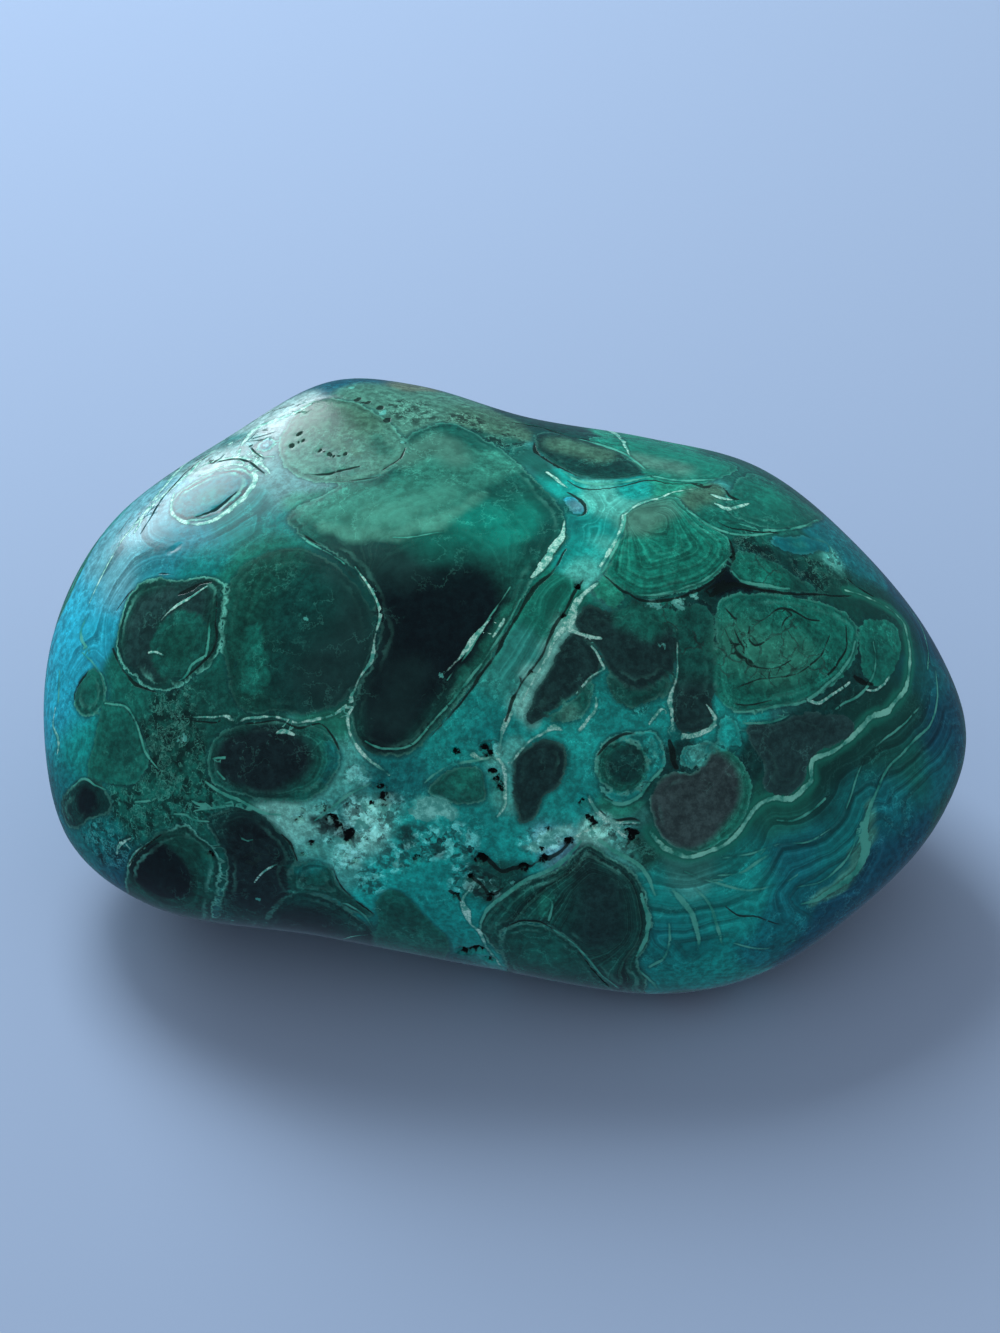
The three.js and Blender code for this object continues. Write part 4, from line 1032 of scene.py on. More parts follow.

# %% [markdown]
# ## The ground's tones
#
# The ground between the nodules drifts from sea blue at the ends through teal to a sandy mint low on the
# broad face. Soft spots of tone, each with a place and a reach, are averaged by their nearness, so the drift
# has no edges. High on the left shoulder two pale greyish tones are painted haze, the window's reflection laid
# into the colour.

# %% Soft spots of tone
ground_spots = {
    "sea": [(-33.5, -1, 2.4), (-30.6, 4, 1)],
    "dim sea": [(-25, 11, 2.2)],
    # Painted haze: these greyish spots lay the window's reflection into the ground.
    "teal under painted haze": [(-15.8, 14.8, 1.6), (-18, 16.6, 1.3), (-23, 17.5, 1.4)],
    "bright sea": [(-33, 5, 3), (-31.5, 7, 1.5)],
    "pale sea": [(-30.2, 9, 2.2), (-28.5, 11, 2), (-26.5, 13.5, 1.8), (3.2, -11, 1)],
    "teal": [(-32.3, -4.5, 2), (-30.6, -3.4, 1), (-4.5, -4.8, 1.2), (-2.5, -3.4, 1.2), (-1.2, -1.6, 1),
             (5.4, -7, 1.2), (8.5, -2.2, 1.3), (11, -2.4, 1), (6, 10.6, 1.2), (6.8, 12.2, 1.2),
             (9.6, 15, 0.9), (12, -16.5, 1.6), (16.5, -15.6, 1.5), (14.5, -21.5, 2), (-4.5, -16, 2.2),
             (17.5, -17.6, 1.3), (-2, -10.5, 1.8)],
    "deep teal": [(-30.4, -11.6, 2.2), (-20.6, 18.4, 1.2), (-23, 9.3, 1.4), (-18, 13, 2), (-19.8, 13.2, 1.5),
                  (-9, -5.8, 1.6), (-6.8, -6.2, 1.2), (-8.2, -7.9, 0.9), (-12, -8.9, 0.8), (4.6, 12.4, 0.9),
                  (13, -19.5, 2), (25, -11.5, 1.8), (26, -8.3, 1.8)],
    "lake": [(-33, -7, 2), (25.3, 11, 1.4), (26.5, 9, 1.3), (22, -12, 2), (21, -17.5, 1.5), (32.6, -6, 1.4),
             (32, 1, 1.5), (29, -9, 1.8), (11.6, -17.8, 0.9), (19, -19, 1.2)],
    "deep lake": [(-29, -13.5, 1.8), (31.5, 4, 1.6), (29, -12.5, 2.2), (33, -3, 2.4), (25, -17, 2)],
    "soft teal": [(0, 1, 1.1), (1, 3, 1.1)],
    "turquoise": [(-6, -11.6, 2.2), (1, -11.4, 1.2), (-8.5, -13.5, 1.4), (3.6, -9.4, 1), (6, -4, 1.3),
                  (5.4, -2.9, 0.9), (5, 15, 0.8), (18, -13.8, 1.5), (11, -14.6, 0.9), (16.8, -3.3, 0.9),
                  (-10.4, -14.8, 1.1)],
    "mint": [(-12, -5, 1.3), (-12.3, -7, 1), (-14, -8.4, 1.2), (-14, -12.2, 1.4), (-11.8, -13.8, 1.1),
             (14, -14, 1.3), (-9, -9, 1), (0.1, -5.4, 0.7), (0.2, -8.4, 0.7), (9, -11.8, 1.1), (8, 13.5, 0.9),
             (7.4, 11, 0.7), (7, 14.6, 1.1), (6.2, 9.2, 0.8), (24.7, 9.5, 0.8)],
    "sandy mint": [(-15.6, -9.9, 1.4), (-10.6, -10.6, 1.3), (1.3, -0.9, 0.6), (2.3, 1.2, 0.6),
                   (3.3, 3.1, 0.6), (4.4, 4.8, 0.6), (7, -10.4, 0.8)],
    # Painted haze: the palest spots, where the window's reflection is brightest.
    "painted window haze": [(-18, 20.4, 1.4), (-16.5, 21, 1.4), (-22, 17.6, 1.4)],
    "sage": [(-5, 21.4, 1.6), (-10, 22, 1.4), (-7.5, 20.6, 1.4)],
    "leaf": [(-12.7, -2.6, 0.9), (8, -9.1, 0.8), (12.2, 15.1, 0.9), (9.5, 19.6, 1.5),
             (13, 19, 1.8), (21.4, -9.3, 1.5)],
    "malachite": [(2.6, 5.4, 1.1), (3.4, 7.2, 1)],
    "deep green": [(-26, -8, 1.4), (-28.4, 1.2, 1.2), (-27.4, -1, 1.2), (30.6, -6, 1.6), (-28, -8.6, 1.8),
                   (-23, -7.2, 2.2), (-21.4, 3.4, 0.9), (-20, 8.9, 1.1), (-18, 10.8, 1.4), (10.3, -12, 0.9),
                   (12, 6.3, 0.9), (23.6, 13.6, 1.2), (15.6, 13.1, 0.9), (18, 12, 0.9)],
    "moss": [(-25.6, -1.4, 2.4), (-21.4, -2.2, 1.3), (-10.6, 7.6, 0.9), (17.6, 17.2, 1.5), (20, 16, 1.8),
             (23, 9.5, 0.9), (25, 8, 1.2), (28, -4, 1.7), (30.6, -2, 1.2), (30.3, 4, 0.8), (12.4, -8.2, 0.7)],
    "bottle": [(24.4, -9.2, 1.1), (-22, -17.5, 1.8), (-10, 3, 0.7), (-1, -14.3, 1.2), (2.5, 20.2, 1.4),
               (4.6, 19.3, 0.8), (18.4, 11, 0.8), (14.6, 6.1, 1), (20, 7.2, 0.8), (22, 9, 0.8),
               (27.4, 7.2, 1.1), (18.4, -4.8, 0.8), (27, -0.8, 1.2), (24.6, -6.5, 1.6), (25.9, -4.8, 1),
               (12.9, -4.9, 0.6)],
    "olive": [(-3, 20.7, 1.1), (-0.8, 20.2, 1), (14, 14.2, 0.9)],
    "tan": [(-7, 22.8, 0.9)],
    "night": [(17, 7.8, 0.8)],
    "dark moss": [(-25, -4, 2.4)],
}
spots = [(*on_stone(u, v), reach, TONES[tone])
         for tone, places in ground_spots.items() for u, v, reach in places]
FAR_SPOTS = 44
for spot in range(FAR_SPOTS):
    middle = points[shuffle.choice(hidden_points)]
    tone = shuffle.choice(["sea", "teal", "deep teal", "turquoise", "lake", "deep green", "deep green",
                           "moss", "mint", "malachite", "deep lake"])
    spots.append((*middle, shuffle.uniform(2, 4.5), TONES[tone]))

drifting = shaken(measured, 1.8, 0.5)


def nearness_to(middle, reach):
    """How near each point is to that place: 1 there, falling off softly with the reach."""
    return np.exp(-((drifting - middle)**2).sum(axis=1) / reach**2)


ground_tone = np.zeros((count, 3))
total = np.zeros(count)
for *middle, reach, tone in spots:
    nearness = nearness_to(middle, reach) + 1e-9
    ground_tone += nearness[:, None] * np.array(tone)
    total += nearness
ground_tone /= total[:, None]
print("mean tone of the ground:", ground_tone[depth < 0].mean(axis=0).round(3))

# %% [markdown]
# ## Glazes
#
# Malachite is a little clear, so one tone can lie over another like a glaze. On the tongue the glazes are
# partly painted light: its pale crescent and clear green top are painted lighter where the surface faces the
# light above, and the slow fall into black below is partly painted shade and partly its own dark heart. A
# glaze is a chain of balls with a tone, a strength and a softness, laid over nodules and ground alike. A very
# soft one also clears the grain beneath it, and all of them fade out where the stone turns away from the
# viewer.

# %% Glazes
glazes = [
    # Painted light and shade on the tongue, over its own tones: the green and pale glazes paint its upper part
    # lighter, the bottle and umber glazes darken it around and below.
    ("bottle", 0.6, 6, [(-10, 12, 0.2), (-4, 12.4, 0.3), (2, 13, 0.3)]),
    ("umber", 0.85, 2.6, [(-13, 10.4, 0.2), (-10.5, 9.8, 0.5), (-7.4, 9.4, 0.3)]),
    ("deep green", 1.0, 3.4, [(-5, 12, 0.2), (-2, 12.4, 0.4), (1.4, 13, 0.6)]),
    ("sea green", 0.8, 2.8, [(-2.4, 12.6, 0.3), (0, 12.2, 0.5), (1.8, 12.6, 0.3)]),
    ("soft leaf", 0.95, 1.0, [(-15.6, 14, 0.8), (-12.5, 13.8, 1.7), (-9, 13.8, 1.9), (-5.6, 14.9, 2.1),
                              (-3.4, 16.6, 2.2), (-0.6, 17, 1.4)]),
    ("pale leaf", 0.85, 0.7, [(-13.4, 12.2, 0.1), (-11, 11.7, 0.25), (-8.4, 11.7, 0.35), (-5.6, 12.5, 0.35),
                              (-3.2, 13.6, 0.25), (-1.6, 14.6, 0.1)]),
    ("pale leaf", 0.45, 1.6, [(-10, 13, 0.4), (-7, 13.6, 0.5), (-4.4, 15, 0.4)]),
    ("sage", 0.85, 1.8, [(-7.4, 17.4, 0.3), (-5.4, 18.5, 0.6), (-3.8, 17.6, 0.4)]),
    ("umber", 0.8, 3.6, [(-13, 1.2, 0.8), (-11.4, 4, 0.2)]),
    ("pale leaf", 0.85, 0.5, [(27.6, -8.4, 0.1), (27.2, -10, 0.4), (27, -11.6, 0.55), (26.4, -13.4, 0.6),
                              (25, -14.8, 0.5), (23, -15.8, 0.2)]),
    ("lit leaf", 0.8, 2.6, [(21.6, 2.6, 0.4), (20.4, 1.8, 0.5), (17.6, 3.6, 0.5)]),
    ("night", 0.5, 1.5, [(24.8, -6, 0.5)]),
    ("umber", 0.6, 2, [(-8.6, -2, 0.6), (-7.2, 1, 0.6)]),
    ("moss", 0.85, 0.6, [(-2.1, -13, 0.5), (-1, -13.6, 0.7), (0.1, -13.4, 0.5), (1.4, -13.2, 0.3)]),
    ("moss", 0.8, 0.6, [(-2.6, -14.6, 0.4), (-1.2, -15.2, 0.4), (-0.1, -14.6, 0.3)]),
    ("umber", 0.9, 0.45, [(-14, -9.9, 0.3), (-13, -10.3, 0.5), (-12, -11.1, 0.45)]),
    ("umber", 0.7, 0.4, [(-9.2, -8, 0.5)]),
    ("crust", 0.85, 0.6, [(-11.6, -9, 0.3), (-10.6, -9.5, 0.7), (-9.6, -10.4, 0.5)]),
    ("crust", 0.5, 0.5, [(-12.2, -12.2, 0.3), (-11, -13, 0.3)]),
    ("mint", 0.9, 0.4, [(-6.2, -8.7, 0.5), (-5, -8.7, 0.6), (-4.2, -9.3, 0.4)]),
    ("crust", 0.8, 0.4, [(2.2, -11.7, 0.4), (3.4, -11, 0.5), (4.6, -10.6, 0.3)]),
    ("crust", 0.7, 0.4, [(6.3, -10.4, 0.3), (7.2, -9.8, 0.3)]),
    ("bottle", 0.8, 0.4, [(-5, -12, 0.4)]), ("bottle", 0.8, 0.4, [(-7.6, -10.6, 0.3), (-7.2, -11.6, 0.3)]),
    ("moss", 0.85, 1.2, [(-2.4, 19.2, 0.4), (0.4, 18.4, 0.7), (2.3, 17, 0.4), (3.4, 16, 0.2)]),
    # Painted shade: a dark glaze inside the tongue's right rim, beside the painted highlight.
    ("bottle", 0.8, 1.1, [(3.5, 14.2, 0.1), (3.4, 12.6, 0.3), (2.4, 10.8, 0.1)]),
    ("leaf", 0.4, 0.6, [(1.6, 7.2, 0.1), (0.2, 5, 0.3), (-1.6, 2.6, 0.3), (-3.8, -0.4, 0.2)]),
    ("sage", 0.8, 1.6, [(9.9, 12.6, 0.5), (11.8, 13.7, 0.4)]),
    ("dark moss", 0.8, 0.9, [(-20.3, 7, 0.5), (-19.9, 3, 0.3), (-20.2, 0.6, 0.2)]),
    ("cool umber", 0.6, 0.8, [(-28, 4.8, 0.1), (-27.2, 6.4, 0.3), (-25.4, 7.3, 0.1)]),
    ("deep teal", 0.8, 0.5, [(-12.8, -4.2, 0.1), (-12.7, -5.6, 0.2), (-13.4, -6.8, 0.1)]),
    ("deep green", 0.7, 0.8, [(-22.2, -12.6, 0.2), (-22, -15, 0.2)]),
    ("bottle", 0.7, 0.5, [(5.4, 16, 0.1), (7.4, 16, 0.2), (9.6, 16.2, 0.1)]),
    ("malachite", 0.75, 1.0, [(9, 5.6, 0.3), (10.4, 5, 0.5), (12.2, 5.6, 0.3)]),
    ("leaf", 0.6, 0.5, [(2.9, -15.8, 0.3), (2.9, -16.8, 0.3)]),
    ("umber", 0.6, 1.6, [(-12.2, 8.4, 0.3), (-11, 6, 0.2)]),
    ("olive", 0.9, 0.6, [(-13.4, 20.7, 0.1), (-12.2, 20.9, 0.4), (-11, 20.3, 0.2)]),
    ("moss", 0.5, 0.5, [(-9.9, 18.9, 0.2), (-9.2, 18.1, 0.4)]),
    ("moss", 0.6, 0.45, [(-13.9, 16.6, 0.1), (-12, 16.3, 0.2), (-10.4, 16.8, 0.1)]),
    ("olive", 0.8, 0.5, [(-13.2, 18.9, 0.1), (-12, 18.5, 0.3), (-11.2, 17.7, 0.2)]),
    ("umber", 0.7, 0.9, [(6.4, -12.4, 0.4), (5.9, -13.6, 0.6)]),
    ("teal", 0.7, 0.8, [(-13.9, -12.9, 0.1), (-15.4, -13.6, 0.1)]),
]
crumbly = shaken(drifting, 0.7, 0.35)
clear = np.zeros(count)
FADE = 0.45
towards_viewer = np.clip((facing + FADE) / FADE, 0, 1)
for name, strength, softness, chain in glazes:
    rows = laid(chain)
    away = chain_distance(crumbly if softness < 0.65 else drifting, rows[:, :3], rows[:, 3])
    share = np.clip(1 - away / softness, 0, 1)
    if softness > 1:
        clear = np.maximum(clear, np.clip(1.5 * share, 0, 1) * towards_viewer)
    share = (strength * share**2 * (3 - 2 * share) * towards_viewer)[:, None]
    for store in (shell_tone, core_tone, ground_tone):
        store += share * (np.array(TONES[name]) - store)
print(len(glazes), "glazes")

# %% [markdown]
# ## Sandy, wormy and streaky ground
#
# The ground has four habits. Mostly it is calm. In places it is sandy rubble, in places a dark ground run
# through with pale threads like worm tracks, and in places it is drawn out into streaks. A fifth habit is
# shared by ground and nodules: in places they are blotched and crackled. Each habit is a number between 0
# and 1, so that they can pass into each other.

# %% Habits of the ground
sandy_spots = [(-10.8, -9.8, 2), (-12.8, -10.4, 1.5), (-9, -9, 1.4), (-11.9, -12.5, 1.4), (-10, -14.3, 1.3),
               (-8.4, -12.6, 1.6), (-6, -11.4, 1.8), (-3.5, -11.5, 1.6), (-3, -14, 1.4), (-1.4, -14.8, 1.2),
               (2.6, -11.3, 1.5), (6.8, -10, 1.1), (9.2, -11.2, 1.2), (-11, -6.4, 1), (-1.2, -4.6, 0.9),
               (-13.6, -9, 0.8)]
wormy_spots = [(-25, -4, 3.2), (-24, -8, 3), (-28, -8.6, 3), (-30, -11.4, 2.6), (-25, -1.2, 2.2),
               (0, 18.6, 2), (-7, 21, 2.2), (-3, 20, 2), (10.4, -12.2, 1.2), (19, 9.2, 2), (23, 8.6, 2),
               (25, 9, 2), (12, 6, 1.2), (14.6, 5.4, 1.4), (-29, -5, 1.8), (14.5, -2.8, 0.8), (9.8, -0.7, 1),
               (18.4, 11, 1.4)]
streaky_spots = [(24, -11, 7), (30, -4, 6), (14, -16, 5), (31, 4, 3), (1, 3, 2.4), (3.6, 7, 2), (7, 13, 3),
                 (-31, 3, 3), (14, 17.5, 5), (22, 12, 4), (-28, 10, 4), (-20, 13, 3)]
crackled_spots = [(-18.5, 18.8, 2), (-15.6, 21, 1.6), (-23, 17, 2), (-26.5, 13.5, 1.8), (18, 3, 3.4),
                  (21.6, 3, 3.4), (23.4, 2, 2), (19.5, 0.4, 2), (12.4, 5.4, 1.6), (14.4, 3.4, 1.4),
                  (-19, -12, 2.4), (19.6, 9, 2)]


def far_patches(many, low, high):
    """So many patches with a reach between low and high, strewn over the far side."""
    return [(*points[shuffle.choice(far_points)], shuffle.uniform(low, high)) for patch in range(many)]


def habit(seen_spots, patches_behind):
    """How strong a habit is at each point: 1 in the middle of a patch, on whichever side it lies."""
    strength = np.zeros(count)
    for *middle, reach in [(*on_stone(u, v), reach) for u, v, reach in seen_spots] + patches_behind:
        strength = np.maximum(strength, nearness_to(middle, reach))
    return strength


sand = habit(sandy_spots, far_sand)
wormy = habit(wormy_spots, far_patches(7, 3, 5))
streaky = habit(streaky_spots, far_patches(8, 5, 9))
crackled = habit(crackled_spots, far_patches(5, 3, 5))
print("sandy ground:", int(((sand > 0.4) & (depth < 0)).sum()), "points")

# %% [markdown]
# ## Relief
#
# The polish is not quite even. The pits are holes, the sandy ground was worn a little lower than the hard
# nodules, and the cracks are fine grooves. The points are pushed in along their normals, never out, so that
# the stone keeps the size of its solid.

# %% Pushing the points in
PIT_DEPTH, SAND_WEAR, CRACK_DEPTH, RIM_GROOVE, LUMP = 0.5, 0.1, 0.1, 0.03, 0.9  # all in millimetres
lumps = np.array([noise.noise(Vector(place) / LUMP) for place in points])
sunk = PIT_DEPTH * np.clip(0.5 - pit / 0.25, 0, 1)
sunk += SAND_WEAR * np.clip(sand * 1.6 - 0.4, 0, 1) * (depth < 0) * (1 + lumps)
sunk += CRACK_DEPTH * np.clip(-crack / 0.1, 0, 1)
sunk += RIM_GROOVE * (1 - np.clip(edge / 0.35, 0, 1))
sunk *= 1 - np.clip(-crumb / 0.3, 0, 1) * 0.7
pushed = (points - normals * sunk[:, None]) * MM
stone_mesh.vertices.foreach_set("co", pushed.ravel())
stone_mesh.update()
print("deepest pit:", round(float(sunk.max()), 2), "mm")

# %% Storing the measures in the mesh
floats = {"depth": depth, "edge": edge, "rim": rim, "ring": ring, "banding": banding, "heart": heart,
          "white_vein": white_vein, "green_vein": green_vein, "crack": crack,
          "white_vein_width": white_width, "green_vein_width": green_width, "crack_width": crack_width,
          "wavy": wavy, "flow": flow, "pit": pit, "crumb": crumb,
          "sand": sand, "wormy": wormy, "streaky": streaky, "crackled": crackled, "clear": clear}
colours = {"ground": ground_tone, "shell": shell_tone, "core": core_tone}
arrows = {"white_vein_arrow": white_arrow, "green_vein_arrow": green_arrow, "crack_arrow": crack_arrow}
for name, values in floats.items():
    stone_mesh.attributes.new(name, "FLOAT", "POINT").data.foreach_set("value", values)
for name, tones in colours.items():
    rgba = np.hstack([tones, np.ones((count, 1))])
    stone_mesh.attributes.new(name, "FLOAT_COLOR", "POINT").data.foreach_set("color", rgba.ravel())
for name, vectors in arrows.items():
    stone_mesh.attributes.new(name, "FLOAT_VECTOR", "POINT").data.foreach_set("vector", vectors.ravel())
print(len(floats) + len(colours) + len(arrows), "measures stored")

# %% [markdown]
# ## The material, built from measures
#
# The material is one long chain of nodes. Written out one by one it would be hard to read, so a few helpers
# make a node, plug its inputs and hand back its output. With them every finish below is a line or two: take a
# measure, cut a band out of it, and blend a tone in there.

# %% Node helpers
polish = bpy.data.materials.new("polished_ore")
polish.use_nodes = True
tree = polish.node_tree
shader = tree.nodes["Principled BSDF"]


def node(kind, inputs, output=0, **settings):
    """A new node with those settings and with a value or a link in each numbered or named input."""
    made = tree.nodes.new("ShaderNode" + kind)
    for setting, value in settings.items():
        setattr(made, setting, value)
    for socket, value in inputs.items():
        if isinstance(value, bpy.types.NodeSocket):
            tree.links.new(value, made.inputs[socket])
        else:
            made.inputs[socket].default_value = value
    return made.outputs[output]


def calc(operation, a, b=0.0, c=0.0):
    """One step of arithmetic, under the node's own name for it."""
    return node("Math", {0: a, 1: b, 2: c}, operation=operation)


def times(a, b):
    return calc("MULTIPLY", a, b)


def times_plus(a, b, c):
    return calc("MULTIPLY_ADD", a, b, c)


def centred(noise_value):
    """A noise that swings about 0 in place of 0.5."""
    return calc("SUBTRACT", noise_value, 0.5)


def rise(value, low, high):
    """0 where the value is at low, 1 where it is at high, smooth between; low may be the larger one."""
    return node("MapRange", {"Value": value, "From Min": low, "From Max": high},
                interpolation_type="SMOOTHSTEP")


def blend(factor, under, over):
    """The colour under, with so much of the colour over laid on it."""
    return node("Mix", {0: factor, MIX_A: under, MIX_B: over}, output=MIX_RESULT, data_type="RGBA")


def lumps_of(size, detail=3.0, roughness=0.55, seed=0.0):
    """A noise whose lumps are that many millimetres across, on a patch of space of its own."""
    shifted = node("VectorMath", {0: millimetres, 1: (seed, -seed, 2 * seed)}, operation="ADD")
    return node("TexNoise", {"Vector": shifted, "Scale": 1 / size, "Detail": detail, "Roughness": roughness},
                output="Fac")


def bands_along(distance, detail=2.0, roughness=0.5):
    """A noise that changes along one measure only: about one light and one dark band for each unit."""
    return node("TexNoise", {"W": distance, "Scale": 1.0, "Detail": detail, "Roughness": roughness},
                output="Fac", noise_dimensions="1D")


def measure(name):
    """The number that the mesh stores under that name."""
    return node("Attribute", {}, output="Fac", attribute_name=name)


def tone(name):
    """The colour that the mesh stores under that name."""
    return node("Attribute", {}, output="Color", attribute_name=name)


object_place = tree.nodes.new("ShaderNodeTexCoord").outputs["Object"]
millimetres = node("VectorMath", {0: object_place, "Scale": 1000.0}, operation="SCALE")
slow = lumps_of(7, 2)
middling = lumps_of(1.6, 5, 0.6, 11)
fine = lumps_of(0.5, 4, 0.6, 23)
grain = lumps_of(0.14, 3, 0.6, 37)

# The fixed tones of the fine things, as red, green, blue and alpha.
FINISH = {
    "green lump": (0.002, 0.11, 0.09, 1),
    "gap in the sand": (0.001, 0.03, 0.028, 1),
    "dark skin": (0.002, 0.035, 0.03, 1),
    "mint skin": (0.1, 0.46, 0.36, 1),
    "seam": (0.002, 0.06, 0.055, 1),
    "crackle": (0.001, 0.04, 0.03, 1),
    "wide halo": (0.003, 0.07, 0.05, 1),
    "halo": (0.007, 0.22, 0.145, 1),
    "thin green vein": (0.02, 0.3, 0.22, 1),
    "green vein": (0.09, 0.5, 0.38, 1),
    "wavy vein": (0.26, 0.78, 0.6, 1),
    # The silica tones also colour the painted highlights and glints among the white veins, and the crumb tones
    # a few painted glints among the crumbs.
    "stained silica": (0.07, 0.42, 0.33, 1),
    "dull silica": (0.2, 0.62, 0.5, 1),
    "white silica": (0.55, 0.98, 0.84, 1),
    "dull crumb": (0.06, 0.42, 0.35, 1),
    "pale crumb": (0.26, 0.85, 0.72, 1),
    "crack": (0.001, 0.012, 0.01, 1),
    "pit": (0.002, 0.004, 0.004, 1),
}
print("helpers ready")

# %% [markdown]
# ## The ground's finish
#
# The ground takes its drifting tone and is mottled by a noise. Bands follow the walls of whatever the ground
# filled: wide ones that only shade it, and over them fine pale lines, like the grain in a piece of wood. The
# wormy parts get a darker ground of their own with pale threads in it.

# %% Ground
def scaled(colour, factor):
    return node("VectorMath", {0: colour, "Scale": factor}, operation="SCALE")


def lifted(colour, gain, lift):
    """A paler colour: red, green and blue are each multiplied by the gain and raised by the lift."""
    return node("VectorMath", {0: colour, 1: gain, 2: lift}, operation="MULTIPLY_ADD")


drift = times_plus(slow, 2.5, measure("flow"))
wide_bands = bands_along(times_plus(middling, 0.35, drift), 2, 0.5)
fine_bands = bands_along(times_plus(drift, 2.6, times(middling, 0.5)), 3, 0.6)
streaks = rise(measure("streaky"), 0.15, 0.7)
worminess = rise(times_plus(middling, 0.5, measure("wormy")), 0.5, 0.85)
mottled = blend(rise(middling, 0.3, 0.7), scaled(tone("ground"), 0.82), scaled(tone("ground"), 1.14))
calm = blend(streaks, mottled, tone("ground"))
ground = blend(times(rise(wide_bands, 0.52, 0.36), times_plus(streaks, 0.6, 0.12)), calm, scaled(calm, 0.36))
ground = blend(times(rise(wide_bands, 0.54, 0.7), times(streaks, 0.8)),
               ground, lifted(calm, (1.5, 1.45, 1.4), (0.004, 0.03, 0.03)))
ground = blend(times(rise(fine_bands, 0.5, 0.36), times_plus(streaks, 0.1, 0.15)),
               ground, scaled(ground, 0.45))
ground = blend(times(rise(fine_bands, 0.56, 0.64), times_plus(streaks, 0.4, 0.2)),
               ground, lifted(ground, (1.5, 1.4, 1.4), (0.01, 0.02, 0.02)))
worm_ground = blend(rise(lumps_of(0.9, 4, 0.6, 97), 0.42, 0.6),
                    scaled(tone("ground"), 0.25), scaled(tone("ground"), 1.1))
worms = bands_along(times_plus(fine, 1.2, times(middling, 15.0)), 2, 0.5)
pale_worms = lifted(tone("ground"), (1.5, 1.5, 1.5), (0.04, 0.1, 0.08))
worm_ground = blend(times(rise(worms, 0.54, 0.62), 0.85), worm_ground, pale_worms)
ground = blend(times(worminess, 0.9), ground, worm_ground)
print("ground: tone, mottle and bands")

# %% [markdown]
# ## Sandy ground
#
# In the sandy parts the filling is rubble: grains of every size from pale crust to dark green, welded
# together. A cell texture with a random tone in every cell gives the grains, and two sizes of it over each
# other keep them from looking alike.

# %% Sandy ground
def wavering(frequency, detail, amount):
    """The place on the stone, moved about by a noise, so that cells get crooked walls."""
    moves = node("TexNoise", {"Vector": millimetres, "Scale": frequency, "Detail": detail}, output="Color")
    return node("VectorMath", {0: moves, 1: (amount, amount, amount), 2: millimetres},
                operation="MULTIPLY_ADD")


def grains_of(size, seed):
    """Cells of about that size in millimetres, each with a random grey of its own."""
    shifted = node("VectorMath", {0: wavering(1.6, 3.0, 0.9), 1: (seed, seed, -seed)}, operation="ADD")
    return node("TexVoronoi", {"Vector": shifted, "Scale": 1 / size}, output="Color")


def crackle_of(size):
    """0 on the edges of cells about that many millimetres wide, growing towards their middles."""
    return node("TexVoronoi", {"Vector": wavering(0.7, 4.0, 1.6), "Scale": 1 / size}, output="Distance",
                feature="DISTANCE_TO_EDGE")


big_grains, small_grains = grains_of(1.0, 3.0), grains_of(0.42, 8.0)
grey = times_plus(big_grains, 0.4, times_plus(small_grains, 0.35, times(fine, 0.5)))
sandy = blend(rise(grey, 0.48, 0.62), scaled(tone("ground"), 0.4), scaled(tone("ground"), 1.15))
pale_sand = lifted(tone("ground"), (1.3, 1.2, 1.2), (0.12, 0.3, 0.27))
sandy = blend(rise(grey, 0.66, 0.8), sandy, pale_sand)
green_lumps = rise(times_plus(fine, 0.3, lumps_of(1.5, 3, 0.5, 71)), 0.54, 0.46)
sandy = blend(times(green_lumps, 0.55), sandy, FINISH["green lump"])
gaps = rise(times_plus(grain, 0.5, small_grains), 0.38, 0.3)
sandy = blend(gaps, sandy, FINISH["gap in the sand"])
sandiness = rise(times_plus(middling, 0.9, measure("sand")), 0.75, 1.0)
ground = blend(times(sandiness, 0.9), ground, sandy)
print("sandy ground: two sizes of grains")

# %% [markdown]
# ## The nodules' finish
#
# Inside a nodule the ring measure runs from the rim to the heart, and a noise along it lays the growth rings.
# The rim itself is four thin skins, one after the other from the outline inwards: mint, dark, green and mint.
# Over all of it, and over the ground too, go the blotches and cells of the crackled parts, a few pale threads
# and a grain, which is left out where a glaze keeps the stone clear.

# %% Nodules
ring_place = times_plus(fine, 0.12, times_plus(middling, 0.45, measure("ring")))
rings = bands_along(ring_place, 2, 0.5)
fine_rings = bands_along(times(ring_place, 3.3), 3, 0.6)
body = blend(rise(measure("heart"), 0.0, 1.0), tone("shell"), tone("core"))
body = blend(rise(middling, 0.3, 0.7), scaled(body, 0.75), scaled(body, 1.22))
banded = times(measure("banding"), rise(measure("heart"), 1.0, 0.3))
body = blend(times(rise(rings, 0.54, 0.36), banded), body, scaled(body, 0.3))
body = blend(times(rise(fine_rings, 0.52, 0.38), times(banded, 0.5)), body, scaled(body, 0.45))
body = blend(times(rise(fine_rings, 0.55, 0.64), times(banded, 0.6)),
             body, lifted(body, (1.6, 1.6, 1.6), (0.02, 0.09, 0.065)))

